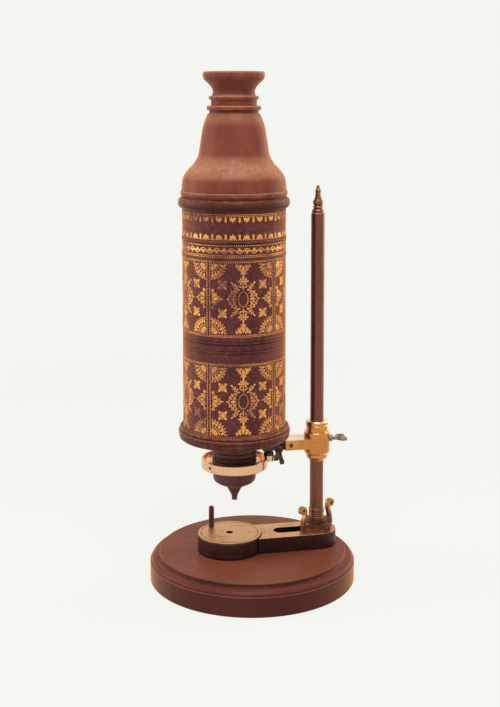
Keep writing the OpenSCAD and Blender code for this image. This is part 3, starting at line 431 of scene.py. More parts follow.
def metal_finish(name, bright, dull, rubbed, gloss, amount, metallic=1.0, coat=0.0, sides=None, worn=0.18,
                 sheen=0.0, over=0.0, upper=None):
    """Brass or iron with tarnish, rubbed edges, scratches, grime and painted shade in grooves, and if asked
    another top or painted light on tops and sides
    """
    made, tree, shader, place = finish_of(
        name, Coat_Weight=coat, Coat_Roughness=0.18, Coat_IOR=1.5, Sheen_Weight=sheen,
        Sheen_Tint=BRASS_GLOW, Sheen_Roughness=0.4)
    clouds = use(tree, cloudy, Vector=place, Patches=70.0)
    marks = use(tree, scratches, Vector=place)
    rub = rub_of(tree, place, Break=420.0)
    cover = plus(tree, times(tree, clouds["Broad"], 0.6), times(tree, clouds["Fine"], 0.4))
    cover = spread(tree, cover, 0.72 - amount * 0.7, 1.05 - amount * 0.6)
    base = blend(tree, cover, bright, dull)
    height = along_z(tree, place)
    if upper:
        base = blend(tree, spread(tree, height, upper[0], upper[0] + 0.004), base, upper[1])
    # Grime with painted shade in the grooves, then rubbed edges and scratches
    base = layered(tree, base, (rub["Dirty"], 0.8, shaded(dull, 0.35)), (rub["Rubbed"], 0.85, rubbed),
                   (marks["Lines"], worn, rubbed))
    # Painted light: upright faces and everything below over take the side colour, tops keep the lit colour;
    # painted shade on the stage, painted reflection on the sleeve's tops
    if sides:
        above = maths(tree, "GREATER_THAN", height, over)
        upright = blend(tree, clouds["Broad"], sides, shaded(sides, 0.7))
        upright = layered(tree, upright, (times(tree, rub["Rubbed"], 0.2), above, rubbed))
        base = blend(tree, times(tree, spread(tree, upward_of(tree), 0.35, 0.85), above), upright, base)
    rough = plus(tree, spread(tree, cover, 0, 1, gloss, gloss + 0.16),
                 spread(tree, clouds["Fine"], 0, 1, -0.03, 0.05))
    metal = spread(tree, maths(tree, "MAXIMUM", cover, rub["Dirty"]), 0, 1, metallic, metallic * 0.8)
    rough = plus(tree, rough, times(tree, marks["Lines"], 0.06))
    fill(tree, shader.inputs, Base_Color=base, Roughness=rough, Metallic=metal)
    bumped(tree, shader, (clouds["Fine"], 0.00001), (marks["Lines"], -0.00001))
    return made


def leather_finish(look):
    """Dark calf with pebbled grain, scuffed edges, grime and painted shade in hollows, and painted shadow
    lines under the cords
    """
    made, tree, shader, place = finish_of(
        "tooled_leather", Specular_IOR_Level=0.08, Sheen_Weight=1.0, Sheen_Tint=GLOW, Sheen_Roughness=0.40,
        Coat_Roughness=0.3, Coat_IOR=1.35)
    clouds = use(tree, cloudy, Vector=place, Patches=55.0)
    grain = use(tree, leather_grain, Vector=place)
    rub = rub_of(tree, place, Break=200.0)
    dirt = shaded(look.calf_deep, 0.25)
    # Patches, scuffs and grain creases, then grime with painted shade in the hollows
    base = layered(tree, blend(tree, clouds["Broad"], look.calf_deep, look.calf),
                   (spread(tree, clouds["Fine"], 0.5, 1), 0.35, look.scuff),
                   (grain["Creases"], 0.30, look.calf_deep), (rub["Rubbed"], 0.5, look.scuff),
                   (rub["Dirty"], 1, dirt))
    height = along_z(tree, place)
    # Painted shadow lines just under the cords
    for below in CORD_SHADOWS:
        off = maths(tree, "ABSOLUTE", maths(tree, "SUBTRACT", height, LEATHER_HIGH.z - below))
        base = blend(tree, spread(tree, off, 0.0003, 0.0007, 1, 0), base, dirt)
    fill(tree, shader.inputs, Base_Color=base, Roughness=spread(tree, clouds["Fine"], 0, 1, 0.42, 0.60),
         Coat_Weight=spread(tree, clouds["Broad"], 0, 1, 0.01, 0.07))
    bumped(tree, shader, (clouds["Fine"], 0.00005), (grain["Height"], 0.00006))
    return made


def gilt_finish(look):
    """Gold leaf that has worn through to the leather in places"""
    made, tree, shader, place = finish_of(
        "gold_leaf", Specular_IOR_Level=0.25, Sheen_Weight=0.3, Sheen_Tint=GOLD_GLOW, Sheen_Roughness=0.4)
    clouds = use(tree, cloudy, Vector=place, Patches=42.0)
    specks = use(tree, cloudy, Vector=place, Patches=330.0)
    thin = plus(tree, times(tree, clouds["Broad"], 0.55), times(tree, specks["Fine"], 0.45))
    worn = spread(tree, thin, 0.42, 0.74)
    base = blend(tree, worn, blend(tree, specks["Broad"], look.gold, look.rose), look.old_gold)
    base = blend(tree, spread(tree, thin, 0.68, 0.80), base, look.calf)
    fill(tree, shader.inputs, Base_Color=base, Roughness=spread(tree, worn, 0, 1, 0.34, 0.5),
         Metallic=spread(tree, thin, 0.4, 0.86, 0.62, 0.1))
    bumped(tree, shader, (specks["Broad"], 0.00004))
    return made


def card_finish(name, pale, deep):
    """Card with fibres that run along the tube"""
    made, tree, shader, place = finish_of(name)
    clouds = use(tree, cloudy, Vector=place, Patches=60.0)
    fibre = noise(tree, mapped(tree, place, scale=(1, 1, 0.2)), 2400.0)
    base = blend(tree, clouds["Broad"], pale, deep)
    base = layered(tree, base, (spread(tree, fibre, 0.5, 0.7), 0.4, deep))
    fill(tree, shader.inputs, Base_Color=base, Roughness=spread(tree, clouds["Fine"], 0, 1, 0.75, 0.95))
    bumped(tree, shader, (fibre, 0.00005))
    return made


def glass_finish():
    """Old lens glass with a green cast and a faint haze"""
    made, tree, shader, place = finish_of(
        "old_glass", Base_Color=(0.90, 0.96, 0.90, 1), Transmission_Weight=1.0, IOR=1.52)
    clouds = use(tree, cloudy, Vector=place, Patches=120.0)
    fill(tree, shader.inputs, Roughness=spread(tree, clouds["Fine"], 0.6, 1, 0.02, 0.10))
    bumped(tree, shader, (clouds["Broad"], 0.00001))
    return made


# Pieces

def mesh_of(work, name):
    made = bpy.data.meshes.new(name)
    work.to_mesh(made)
    work.free()
    return made


def stood(name, data, place=(0, 0, 0), turn=(0, 0, 0)):
    """Puts an object in the scene"""
    made = bpy.data.objects.new(name, data)
    made.location = place
    made.rotation_euler = turn
    bpy.context.collection.objects.link(made)
    return made


def add_piece(name, work, material, body):
    mesh = mesh_of(work, name)
    mesh.materials.clear()
    mesh.materials.append(material)
    piece = stood(name, mesh)
    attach(piece, body)
    return piece


def body_of(node):
    return next(body for body, nodes in frame["record"]["behaviour"]["bodies"].items() if node in nodes)


def measure_wear(work):
    """Gives each vertex its wear: up to 1 on sharp rounded edges and beads, down to -1 in grooves"""
    layer = work.verts.layers.float.new("wear")
    for vert in work.verts:
        most = 0.0
        for edge in vert.link_edges:
            if len(edge.link_faces) != 2:
                continue
            one, two = edge.link_faces
            apart = (one.calc_center_median() - two.calc_center_median()).length
            bend = edge.calc_face_angle_signed(0.0) / max(apart, LEAST_APART)
            if abs(bend) > abs(most):
                most = bend
        size = min(max((abs(most) - FLAT_BEND) / (SHARP_BEND - FLAT_BEND), 0.0), 1.0)
        vert[layer] = size if most > 0 else -size


def worked(node, ease, material, sharp=radians(28)):
    """Replaces a CAD node by a copy with eased edges and measured wear"""
    work = bmesh.new()
    work.from_mesh(frame["nodes"][node].data)
    bmesh.ops.remove_doubles(work, verts=work.verts, dist=WELD)
    bmesh.ops.dissolve_limit(work, angle_limit=EVEN, verts=work.verts, edges=work.edges,
                             use_dissolve_boundaries=False)
    edges = [edge for edge in work.edges
             if len(edge.link_faces) == 2 and edge.calc_face_angle(0.0) > sharp]
    if edges:
        bmesh.ops.bevel(work, geom=edges, offset=ease, offset_type="OFFSET", segments=2, profile=0.5,
                        affect="EDGES", clamp_overlap=True, material=-1, loop_slide=True)
    measure_wear(work)
    for face in work.faces:
        face.smooth = True
    piece = add_piece(node + "_worked", work, material, body_of(node))
    piece.modifiers.new("even_shading", "WEIGHTED_NORMAL").weight = 60
    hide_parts(node)


def dress(*rows):
    """Works pieces in turn: each row is a finish, how far edges are eased in metres, and its nodes"""
    for finish, ease, *nodes in rows:
        for node in nodes:
            worked(node, ease, finish)


def paint(node, material):
    """Gives a CAD node that keeps its own mesh a finish"""
    for place in frame["nodes"][node].material_slots:
        place.material = material


# Gilt tooling, pressed flat in millimetres and then wrapped round the barrel

def touching(verts, kind):
    """The edges or faces of some vertices, once each"""
    return list({item for vert in verts for item in getattr(vert, kind)})


def between(start, end, count):
    """Points at even distances from start to end"""
    return [tuple(a + (b - a) * i / count for a, b in zip(start, end)) for i in range(count + 1)]


def polar(x, y, radius, turn):
    return x + radius * cos(radians(turn)), y + radius * sin(radians(turn))


class Press:
    """A flat sheet of stamps: x along the leather, y up it, z out of it"""

    def __init__(self, look):
        self.work = bmesh.new()
        self.high = look.relief / MM
        self.low = -look.sunk / MM
        self.flip = (1, 1)

    def raise_up(self, verts, taper=1.0):
        """Thickens a flat stamp and narrows its top"""
        middle = sum((vert.co for vert in verts), Vector()) / len(verts)
        bmesh.ops.translate(self.work, vec=(0, 0, self.low), verts=verts)
        made = bmesh.ops.extrude_face_region(self.work, geom=touching(verts, "link_faces"))["geom"]
        tops = [item for item in made if isinstance(item, bmesh.types.BMVert)]
        bmesh.ops.translate(self.work, vec=(0, 0, self.high - self.low), verts=tops)
        if taper != 1.0:
            bmesh.ops.scale(self.work, vec=(taper, taper, 1), verts=tops, space=Matrix.Translation(-middle))
        bmesh.ops.scale(self.work, vec=(*self.flip, 1), verts=verts + tops)

    def circle(self, sides, filled, **settings):
        return bmesh.ops.create_circle(self.work, cap_ends=filled, segments=sides, **settings)["verts"]

    def pearl(self, x, y, radius, sides=8):
        self.raise_up(self.circle(sides, True, radius=radius, matrix=Matrix.Translation((x, y, 0))), 0.72)

    def leaf(self, x, y, long, wide, turn):
        """A pointed petal that starts at a point and grows towards turn, in degrees"""
        verts = self.circle(8, True, radius=1.0)
        for vert in verts:
            vert.co.y *= 1.0 if abs(vert.co.x) < 0.5 else 0.78
            vert.co.x += 0.12 * (1 - abs(vert.co.x))
        laid = (Matrix.Translation((x, y, 0)) @ Matrix.Rotation(radians(turn), 4, "Z")
                @ Matrix.Translation((long / 2, 0, 0)) @ Matrix.Diagonal((long / 2, wide / 2, 1, 1)))
        bmesh.ops.transform(self.work, matrix=laid, verts=verts)
        self.raise_up(verts, 0.8)

    def fillet(self, points, wide):
        """A narrow line along points"""
        count = len(points) - 1
        verts = bmesh.ops.create_grid(self.work, x_segments=count, y_segments=1, size=0.5)["verts"]
        for vert in verts:
            step = round((vert.co.x + 0.5) * count)
            before, after = points[max(step - 1, 0)], points[min(step + 1, count)]
            along = Vector((after[0] - before[0], after[1] - before[1], 0)).normalized()
            side = Vector((-along.y, along.x, 0)) * (wide / 2 if vert.co.y > 0 else -wide / 2)
            vert.co = Vector((*points[step], 0)) + side
        self.raise_up(verts)

    def hoop(self, across, tall, wide, sides):
        """An oval line round the panel's middle"""
        outer, inner = (self.circle(sides, False, radius=1.0) for _ in range(2))
        bmesh.ops.scale(self.work, vec=(across, tall, 1), verts=outer)
        bmesh.ops.scale(self.work, vec=(across - wide, tall - wide, 1), verts=inner)
        bmesh.ops.bridge_loops(self.work, edges=touching(outer + inner, "link_edges"))
        self.raise_up(outer + inner)

    def row(self, start, end, radius, pitch):
        """Pearls at an even distance between two points"""
        for spot in between(start, end, max(round(dist(start, end) / pitch), 1)):
            self.pearl(*spot, radius, 6)

    def line(self, start, end, wide):
        """A straight line in short steps, so that it can bend round the leather"""
        step = 2.6
        self.fillet(between(start, end, max(ceil(dist(start, end) / step), 1)), wide)

    def arc(self, x, y, radius, start, end, wide, steps=10):
        turns = [start + (end - start) * i / steps for i in range(steps + 1)]
        self.fillet([polar(x, y, radius, turn) for turn in turns], wide)

    def bow(self, start, pull, end, wide):
        """A line that bends towards a third point"""
        steps = 7
        shares = [i / steps for i in range(steps + 1)]
        self.fillet([tuple((1 - t) ** 2 * a + 2 * t * (1 - t) * b + t * t * c
                           for a, b, c in zip(start, pull, end)) for t in shares], wide)

    def mirrored(self, draw, across=True, upright=True):
        """Draws the same stamps in both halves or all four quarters"""
        for x in (1, -1) if across else (1,):
            for y in (1, -1) if upright else (1,):
                self.flip = (x, y)
                draw()
        self.flip = (1, 1)


def corner_fan(press, x, y):
    """Quarter of a rosette in a panel's corner, opening down and to the left"""
    press.arc(x, y, 10.3, 181, 269, 0.55)
    press.arc(x, y, 6.3, 182, 268, 0.50, 8)
    for i in range(8):
        press.pearl(*polar(x, y, 11.3, 184 + i * 11.7), 0.62, 6)
    for i in range(5):
        press.leaf(*polar(x, y, 6.8, 189 + i * 18), 3.2, 1.9, 189 + i * 18)
    for i in range(4):
        press.pearl(*polar(x, y, 9.1, 198 + i * 18), 0.6, 6)
    for turn in (194, 225, 256):
        press.leaf(*polar(x, y, 1.4, turn), 4.2, 2.1, turn)
    for turn in (209, 241):
        press.pearl(*polar(x, y, 4.8, turn), 0.6, 6)
    press.pearl(*polar(x, y, 1.1, 225), 0.6)


def half_lozenge(press, x, y, half, deep, turn):
    """A cusp that grows from a border: a scalloped outline with leaves inside"""
    laid = Matrix.Translation((x, y, 0)) @ Matrix.Rotation(radians(turn), 4, "Z")

    def at(along, side):
        spot = laid @ Vector((along, side, 0))
        return spot.x, spot.y

    for side in (1, -1):
        press.bow(at(0.2, side * half), at(deep * 0.32, side * half * 0.55), at(deep, 0), 0.75)
        press.leaf(*at(0.6, side * 0.9), deep * 0.60, 2.1, turn + side * 42)
        press.pearl(*at(deep * 0.50, side * 1.5), 0.5, 6)
        press.leaf(*at(0.4, side * (half - 0.6)), 2.6, 1.2, turn + side * 30)
        for i in (0.22, 0.50, 0.78):
            press.pearl(*at(0.6 + deep * i, side * (half * (1 - i) ** 1.25 + 1.0)), 0.55, 6)
        press.pearl(*at(0.9, side * half * 0.52), 0.55, 6)
    press.leaf(*at(0.8, 0), deep * 0.66, 2.3, turn)
    press.leaf(*at(deep - 0.3, 0), 2.2, 1.2, turn)


def palmette(press, y, size=1.25):
    """A spray of rounded leaves over the medallion"""
    for turn, long, wide in ((90, 3.6, 1.5), (48, 2.5, 1.1), (132, 2.5, 1.1), (8, 3.0, 1.3),
                             (172, 3.0, 1.3), (-38, 2.5, 1.1), (218, 2.5, 1.1), (-90, 4.6, 1.1)):
        press.leaf(*polar(0, y, 0.6, turn), long * size, wide * size, turn)
    press.pearl(0, y, 0.9)
    press.leaf(0, y + 4.9, 2.8, 1.6, 90)
    if size > 1:
        for turn in (24, 156):
            press.leaf(*polar(0, y - 4.3, 0.5, turn), 3.1, 1.4, turn)


def medallion(press):
    """Dark oval in the middle of a panel, between two lobes with sprigs"""
    press.hoop(3.7, 5.6, 0.5, 20)

    def quarter():
        press.bow((3.0, 7.0), (8.6, 6.2), (10.6, 0.3), 0.85)
        press.bow((4.4, 5.0), (6.6, 4.0), (7.5, 0.9), 0.75)
        press.leaf(5.0, 1.2, 3.2, 1.7, 52)
        for x, y in ((8.5, 2.2), (7.4, 4.1), (9.9, 3.4), (8.4, 5.6), (5.6, 5.6)):
            press.pearl(x, y, 0.66, 6)
        press.line((3.4, 6.9), (7.6, 11.0), 0.55)
        for along, long in ((0.25, 2.4), (0.60, 2.1)):
            for turn in (-2, 92):
                press.leaf(3.4 + 4.2 * along, 6.9 + 4.1 * along, long, 1.15, turn)
        press.leaf(7.2, 10.6, 2.7, 1.5, 45)
        press.pearl(3.2, 6.7, 0.8)

    def half():
        press.leaf(4.5, 0, 5.0, 2.3, 0)
        press.leaf(10.4, 0, 2.2, 1.3, 0)

    press.mirrored(quarter)
    press.mirrored(half, upright=False)


def quatrefoil(press, x, y):
    """A flower with four long petals and four short leaves"""
    press.pearl(x, y, 1.9)
    for i in range(4):
        press.leaf(*polar(x, y, 0.9, 45 + i * 90), 3.7, 2.3, 45 + i * 90)
        press.leaf(*polar(x, y, 1.1, i * 90), 2.1, 1.0, i * 90)


def tooled_panel(look, half_w, half_h):
    """One framed panel of tooling as a flat mesh"""
    press = Press(look)
    pitch = look.pearl / MM
    pearl = 0.56
    rim_x, rim_y = half_w - 1.15, half_h - 0.6
    field_x, field_y = half_w - 2.1, half_h - 1.6

    def caps():
        half_lozenge(press, 0, field_y, 4.9, 8.0, -90)
        palmette(press, 12.4)

    press.mirrored(lambda: press.row((rim_x, -rim_y), (rim_x, rim_y), pearl, pitch), upright=False)
    rim = (-rim_x + pitch, rim_y), (rim_x - pitch, rim_y)
    press.mirrored(lambda: press.row(*rim, pearl, pitch), across=False)
    press.mirrored(lambda: corner_fan(press, field_x, field_y))
    press.mirrored(lambda: half_lozenge(press, field_x, 0, 6.6, 7.6, 180), upright=False)
    if half_w > NARROW_PANEL:
        press.mirrored(caps, across=False)
        press.mirrored(lambda: quatrefoil(press, 15.0, 10.2))
        medallion(press)
    else:
        press.mirrored(lambda: palmette(press, 7.0, 1.0), across=False)
        press.hoop(2.4, 3.6, 0.7, 16)
    return mesh_of(press.work, "flat_panel")


def wrap(work):
    """Rolls flat millimetres round the tube's axis"""
    for vert in work.verts:
        turn = FIRST_PANEL + vert.co.x * MM / BARREL_R
        out = BARREL_R + vert.co.z * MM
        vert.co = Vector((TUBE_X + out * cos(turn), out * sin(turn), vert.co.y * MM))


def ring_line(work, z, wide, look):
    """A gilt line right round the leather"""
    out, low = BARREL_R + look.relief, BARREL_R - look.sunk
    half = wide / 2 * MM
    verts = bmesh.ops.create_grid(work, x_segments=1, y_segments=1, size=0.5)["verts"]
    for vert in verts:
        height = z * MM + (half if vert.co.y > 0 else -half)
        vert.co = Vector((TUBE_X + (out if vert.co.x > 0 else low), 0, height))
    bmesh.ops.delete(work, geom=touching(verts, "link_faces"), context="FACES_ONLY")
    bmesh.ops.spin(work, geom=verts + touching(verts, "link_edges"), cent=(TUBE_X, 0, 0), axis=(0, 0, 1),
                   angle=2 * pi, steps=240, use_merge=True)


def gild(name, flats, lines, body, material, look):
    """Wraps flat meshes, each at its place along and up the leather, and adds the lines right round"""
    work = bmesh.new()
    for flat, x, z in flats:
        flat.transform(Matrix.Translation((x, z, 0)))
        work.from_mesh(flat)
        flat.transform(Matrix.Translation((-x, -z, 0)))
    wrap(work)
    for z, wide in lines:
        ring_line(work, z, wide, look)
    bmesh.ops.recalc_face_normals(work, faces=work.faces)
    add_piece(name, work, material, body)


def repeat_round(look, pitch_mm, draw):
    """A roll: the same stamps again and again right round the barrel"""
    press = Press(look)
    girth = 2 * pi * BARREL_R / MM
    count = round(girth / pitch_mm)
    pitch = girth / count
    draw(press, pitch)
    flat = mesh_of(press.work, "flat_roll")
    return [(flat, i * pitch, 0) for i in range(count)]


def pearl_rows(look, rows):
    """Rows of pearls right round the leather, each with its height and radius"""
    def draw(press, pitch):
        for z, radius in rows:
            press.pearl(0, z, radius, 6)

    return repeat_round(look, look.pearl / MM, draw)


def vine(press, pitch):
    """One repeat of the vine roll between the cords"""
    middle, swing, steps = 252.7, 1.7, 12
    press.fillet([(pitch * i / steps, middle + swing * sin(2 * pi * i / steps))
                  for i in range(steps + 1)], 0.6)
    for x, side in ((pitch * 0.25, -1), (pitch * 0.75, 1)):
        for turn, long, wide in ((90, 2.5, 1.7), (22, 2.2, 1.4), (158, 2.2, 1.4)):
            press.leaf(x, middle - side * 0.3, long, wide, side * turn)
        press.pearl(x, middle + side * 0.5, 0.55, 6)


def rosettes(press, pitch):
    """A scallop and a drop, growing up from the lower line and hanging from the upper one"""
    for z, way in ((260.9, 1), (276.2, -1)):
        for turn, long in ((16, 2.4), (54, 3.0), (90, 3.4), (126, 3.0), (164, 2.4)):
            press.leaf(*polar(pitch / 4, z, 0.3, turn * way), long, 1.6, turn * way)
        press.leaf(pitch * 3 / 4, z, 3.9, 1.9, 90 * way)
        press.pearl(pitch * 3 / 4, z + 0.5 * way, 0.9)


# Bands: name, body, pearls as height and radius, roll and its length, lines as height and width
BANDS = (
    ("gilt_cord_band", "barrel", ((256.3, 0.56), (249.2, 0.56)), vine, 10.9, ((257.2, 0.3), (248.2, 0.3))),
    ("gilt_draw_band", "draw", ((260.5, 0.52), (277.1, 0.56)), rosettes, 9.95, ((278.2, 0.35),)),
)


# Operators

class MICROSCOPE_OT_turned_wood(bpy.types.Operator):
    """Dresses the foot, the flange and the turned pieces above the barrel"""
    bl_idname = "microscope.turned_wood"
    bl_label = "Turned wood"

    def execute(self, context):
        look = context.scene.microscope_wood
        # Painted shade on the foot's upright faces and on the ring wood, and a painted highlight on the
        # bell's upward faces
        foot = wood_finish("foot_wood", look, look.foot_pale, look.foot_deep, 0.0, lying=True, streaks=42.0,
                           polish=0.08, sheen=0.85, shade=(-0.1, 0.5, 0.64), worn=0.22)
        upright = wood_finish("bell_wood", look, look.pale, look.deep, TUBE_X, polish=0.05, sheen=0.85,
                              top_highlight=look.top_highlight)
        ring = wood_finish("ring_wood", look, look.foot_pale, look.foot_deep, TUBE_X, polish=0.14,
                           sheen=0.6, shade=(-0.5, 0.6, 0.85))
        dress((foot, 0.0004, "base_foot"), (ring, 0.0002, "barrel_flange", "top_ring"),
              (upright, 0.0002, "bell_cap", "eye_collar", "eye_cup"))
        return {"FINISHED"}


class MICROSCOPE_OT_dark_wood(bpy.types.Operator):
    """Dresses the focusing neck and the snout in dark wood"""
    bl_idname = "microscope.dark_wood"
    bl_label = "Neck and snout"

    def execute(self, context):
        look = context.scene.microscope_wood
        for node, finish, lighter in (("neck_screw", "neck_wood", 1.0), ("snout", "snout_wood", 1.35)):
            wood = wood_finish(finish, look, shaded(look.dark_pale, lighter), look.dark_deep, TUBE_X,
                               smoother=0.05)
            worked(node, 0.00015, wood)
        return {"FINISHED"}


class MICROSCOPE_OT_pillar(bpy.types.Operator):
    """Dresses the pillar, its finial and its wing nut in dark lacquered brass"""
    bl_idname = "microscope.pillar"
    bl_label = "Pillar and wing nut"

    def execute(self, context):
        look = context.scene.microscope_brass
        dark = metal_finish("brown_brass", look.brown, look.tarnish, look.rubbed, 0.36, 0.35, coat=0.12,
                            worn=0.10, sheen=0.45)
        low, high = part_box("wing_nut")
        ears = (low.z + 0.4 * (high.z - low.z), look.ears)
        scroll = metal_finish("rubbed_brass", look.scroll, look.brown, look.rubbed, 0.36, 0.5, worn=0.10,
                              upper=ears)
        nut = metal_finish("nut_brass", look.tan, look.tarnish, look.warm, 0.4, 0.6)
        dress((dark, 0.00012, "pillar", "pillar_finial"), (scroll, 0.00015, "wing_nut"),
              (nut, 0.00015, "pillar_washer", "pillar_nut"))
        return {"FINISHED"}


class MICROSCOPE_OT_stage_works(bpy.types.Operator):
    """Dresses the slotted arm, the disc and the specimen pin"""
    bl_idname = "microscope.stage_works"
    bl_label = "Stage"

    def execute(self, context):
        look = context.scene.microscope_brass
        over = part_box("stage_arm")[0].z + THIN_END
        # Painted shade: the stage's upright sides take the dark side colour
        top = metal_finish("stage_brass", look.tan, look.rubbed, look.pale, 0.40, 0.25, sides=look.sides,
                           worn=0.12, over=over)
        side = metal_finish("drum_brass", look.sides, look.sides, look.brown, 0.42, 0.2, worn=0.06)
        pin = metal_finish("pin_iron", shaded(look.brown, 0.5), look.iron, look.brown, 0.40, 0.3)
        dress((top, 0.00028, "stage_arm"), (top, 0.00022, "stage_plate"),
              (side, 0.00030, "stage_drum"), (pin, 0.00015, "specimen_pin"),
              (side, 0.00015, "slot_slider"), (top, 0.00012, "pivot_washer"))
        return {"FINISHED"}


class MICROSCOPE_OT_arm(bpy.types.Operator):
    """Dresses the sleeve, the bar, the ball clamp and the ring"""
    bl_idname = "microscope.arm"
    bl_label = "Arm and ball clamp"

    def execute(self, context):
        look = context.scene.microscope_brass
        # Painted reflection: the tops of the sleeve, cap and bar take the light colour of the top light
        warm = metal_finish("sleeve_brass", look.pink_reflection_and_rub, look.warm, look.pale, 0.24, 0.10, sides=look.warm,
                            worn=0.10)
        iron = metal_finish("black_iron", look.iron, look.tarnish, look.rubbed, 0.36, 0.3, metallic=0.8)
        pale = metal_finish("ring_brass", look.pale, look.tan, look.pink_reflection_and_rub, 0.20, 0.05, worn=0.08)
        olive = metal_finish("screw_brass", look.olive, look.tarnish, look.tan, 0.36, 0.3, worn=0.10)
        dress((warm, 0.00022, "inner_sleeve", "sleeve_cap", "arm_bar"), (olive, 0.00012, "sleeve_screw"),
              (iron, 0.00012, "jaw_block", "jaw_cap", "jaw_screw", "ball_stem", "ring_screw", "jaw_rivet"),
              (pale, 0.0002, "ring"))
        paint("ball", iron)
        return {"FINISHED"}


class MICROSCOPE_OT_leather(bpy.types.Operator):
    """Dresses the leather of the barrel and of the draw tube"""
    bl_idname = "microscope.leather"
    bl_label = "Leather"

    def execute(self, context):
        calf = leather_finish(context.scene.microscope_leather)
        for node in ("barrel_leather", "draw_leather"):
            worked(node, 0.00015, calf, radians(50))
        return {"FINISHED"}


class MICROSCOPE_OT_panels(bpy.types.Operator):
    """Presses the framed panels of gilt tooling into the barrel's leather"""
    bl_idname = "microscope.panels"
    bl_label = "Gilt panels"

    def execute(self, context):
        look = context.scene.microscope_leather
        gold = gilt_finish(look)
        radius = BARREL_R / MM
        half = PANEL_TURN * radius / 2
        rest = (2 * pi - 4 * PANEL_TURN) * radius / 2
        for name, middle, tall in PANEL_ROWS:
            wide = tooled_panel(look, half, tall)
            narrow = tooled_panel(look, rest, tall)
            flats = [(wide, PANEL_TURN * radius * i, middle) for i in (-2, -1, 0, 1)]
            flats.append((narrow, PANEL_TURN * radius * 1.5 + rest, middle))
            lines = [(middle + way * (tall + LINE_OFF), LINE_WIDE) for way in (1, -1)]
            gild(name, flats, lines, "barrel", gold, look)
        return {"FINISHED"}


class MICROSCOPE_OT_bands(bpy.types.Operator):
    """Rolls the gilt bands round the cords and the draw tube's leather"""
    bl_idname = "microscope.bands"
    bl_label = "Gilt bands"

    def execute(self, context):
        look = context.scene.microscope_leather
        gold = bpy.data.materials["gold_leaf"]
        for name, body, pearls, roll, pitch, lines in BANDS:
            flats = pearl_rows(look, pearls) + repeat_round(look, pitch, roll)
            gild(name, flats, lines, body, gold, look)
        return {"FINISHED"}


class MICROSCOPE_OT_inside(bpy.types.Operator):
    """Finishes the tubes, the stop and the lenses inside the barrel"""
    bl_idname = "microscope.inside"
    bl_label = "Tubes and lenses"

    def execute(self, context):
        board = card_finish("pasteboard", (0.50, 0.36, 0.20), (0.34, 0.22, 0.11))
        black = card_finish("black_card", (0.020, 0.018, 0.016), (0.008, 0.008, 0.008))
        brass = context.scene.microscope_brass
        wire = metal_finish("wire_brass", brass.tan, brass.tarnish, brass.pale, 0.4, 0.4)
        glass = glass_finish()
        dress((board, 0.0002, "barrel_tube", "draw_tube", "draw_collar", "field_ring"),
              (black, 0.0002, "field_stop"), (wire, 0.0001, "eye_ring", "objective_ring"))
        for node in ("field_lens", "eye_lens", "objective_lens"):
            paint(node, glass)
        return {"FINISHED"}


class MICROSCOPE_OT_studio(bpy.types.Operator):
    """Sets the pale ground, the soft lights and the camera"""
    bl_idname = "microscope.studio"
    bl_label = "Studio"

    def execute(self, context):
        scene = context.scene
        look = scene.microscope_studio
        scene.view_settings.view_transform = "Standard"
        work = bmesh.new()
        bmesh.ops.create_grid(work, x_segments=1, y_segments=1, size=3.0)
        ground = mesh_of(work, "ground")
        ground.materials.append(pale_paper(look))
        floor = stood("ground", ground)
        room_light(scene, look)
        for lamp in LAMPS:
            soft_box(look, *lamp)
        camera = bpy.data.cameras.new("camera")
        camera.sensor_width = 36
        camera.sensor_fit = "AUTO"
        camera.lens = look.lens
        camera.shift_x, camera.shift_y = CAMERA_SHIFT
        scene.camera = stood("camera", camera, CAMERA_AT, CAMERA_TURN)
        return {"FINISHED"}


def seen_directly(tree):
    """1 for camera, mirror and glass rays, 0 for the light that falls on the object"""
    rays = add(tree, "ShaderNodeLightPath").outputs
    seen = maths(tree, "MAXIMUM", rays["Is Camera Ray"], rays["Is Glossy Ray"])
    return maths(tree, "MAXIMUM", seen, rays["Is Transmission Ray"])


def pale_paper(look):
    """Ground that is pale by itself and keeps the object's soft shadow"""
    made = bpy.data.materials.new("pale_paper")
    tree = emptied(made)
    lit = add(tree, "ShaderNodeBsdfDiffuse", {"Color": solid(look.paper)}).outputs[0]
    glow = add(tree, "ShaderNodeEmission", {"Color": solid(look.paper), "Strength": 1.0}).outputs[0]
    place = add(tree, "ShaderNodeTexCoord").outputs["Object"]
    away = add(tree, "ShaderNodeVectorMath", {0: place}, operation="LENGTH").outputs["Value"]
    amount = times(tree, seen_directly(tree), spread(tree, away, 0.2, 0.9, 0.86, 1.0))
    mixed = add(tree, "ShaderNodeMixShader", {0: amount, 1: lit, 2: glow}).outputs[0]
    add(tree, "ShaderNodeOutputMaterial", {"Surface": mixed})
    return made


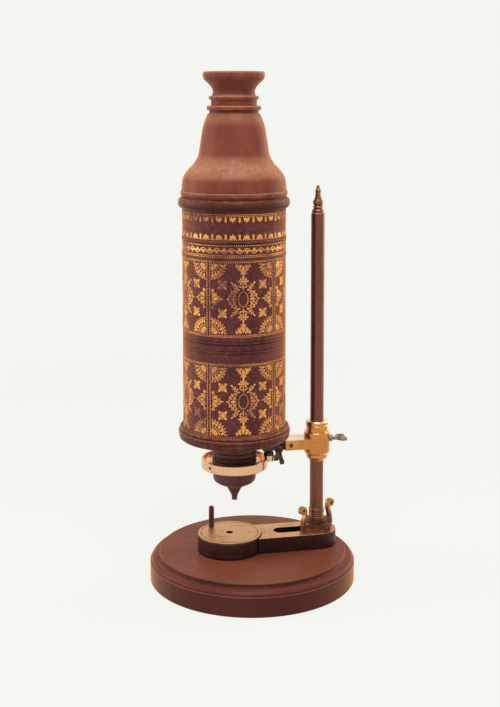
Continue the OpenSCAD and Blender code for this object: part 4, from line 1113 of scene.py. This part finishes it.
def room_light(scene, look):
    """Even light on the object, and the paper's colour wherever the room itself is seen"""
    scene.world = bpy.data.worlds.new("room")
    tree = emptied(scene.world)
    even = add(tree, "ShaderNodeBackground", {"Color": solid(WHITE), "Strength": look.world}).outputs[0]
    paper = add(tree, "ShaderNodeBackground", {"Color": solid(look.paper), "Strength": 1.0}).outputs[0]
    mixed = add(tree, "ShaderNodeMixShader", {0: seen_directly(tree), 1: even, 2: paper}).outputs[0]
    add(tree, "ShaderNodeOutputWorld", {"Surface": mixed})


def soft_box(look, name, place, aim, size, setting, strength, tint):
    """A rectangular light that faces its aim"""
    lamp = bpy.data.lights.new(name, "AREA")
    lamp.shape = "RECTANGLE"
    lamp.size, lamp.size_y = size
    lamp.energy = getattr(look, setting) * strength
    lamp.color = tint
    stood(name, lamp, place, (Vector(aim) - Vector(place)).to_track_quat("-Z", "Y").to_euler())


class MICROSCOPE_PT_dress(bpy.types.Panel):
    """Lists the steps that dress the microscope"""
    bl_idname = "MICROSCOPE_PT_dress"
    bl_label = "Microscope"
    bl_space_type = "VIEW_3D"
    bl_region_type = "UI"
    bl_category = "Microscope"

    def draw(self, context):
        for title in looks:
            group = getattr(context.scene, title)
            box = self.layout.box()
            box.label(text=title.split("_")[1].title())
            for name in group.__annotations__:
                box.prop(group, name)
        for step in steps:
            self.layout.operator(step.bl_idname)


looks = {"microscope_wood": MicroscopeWood, "microscope_brass": MicroscopeBrass,
         "microscope_leather": MicroscopeLeather, "microscope_studio": MicroscopeStudio}
steps = (MICROSCOPE_OT_turned_wood, MICROSCOPE_OT_dark_wood, MICROSCOPE_OT_pillar,
         MICROSCOPE_OT_stage_works, MICROSCOPE_OT_arm, MICROSCOPE_OT_leather, MICROSCOPE_OT_panels,
         MICROSCOPE_OT_bands, MICROSCOPE_OT_inside, MICROSCOPE_OT_studio)
classes = (*looks.values(), *steps, MICROSCOPE_PT_dress)


def register():
    for made in classes:
        bpy.utils.register_class(made)
    for name, group in looks.items():
        setattr(bpy.types.Scene, name, bpy.props.PointerProperty(type=group))


def unregister():
    for name in looks:
        delattr(bpy.types.Scene, name)
    for made in reversed(classes):
        bpy.utils.unregister_class(made)


def main():
    register()
    for step in steps:
        family, name = step.bl_idname.split(".")
        getattr(getattr(bpy.ops, family), name)()


if __name__ == "__main__":
    main()
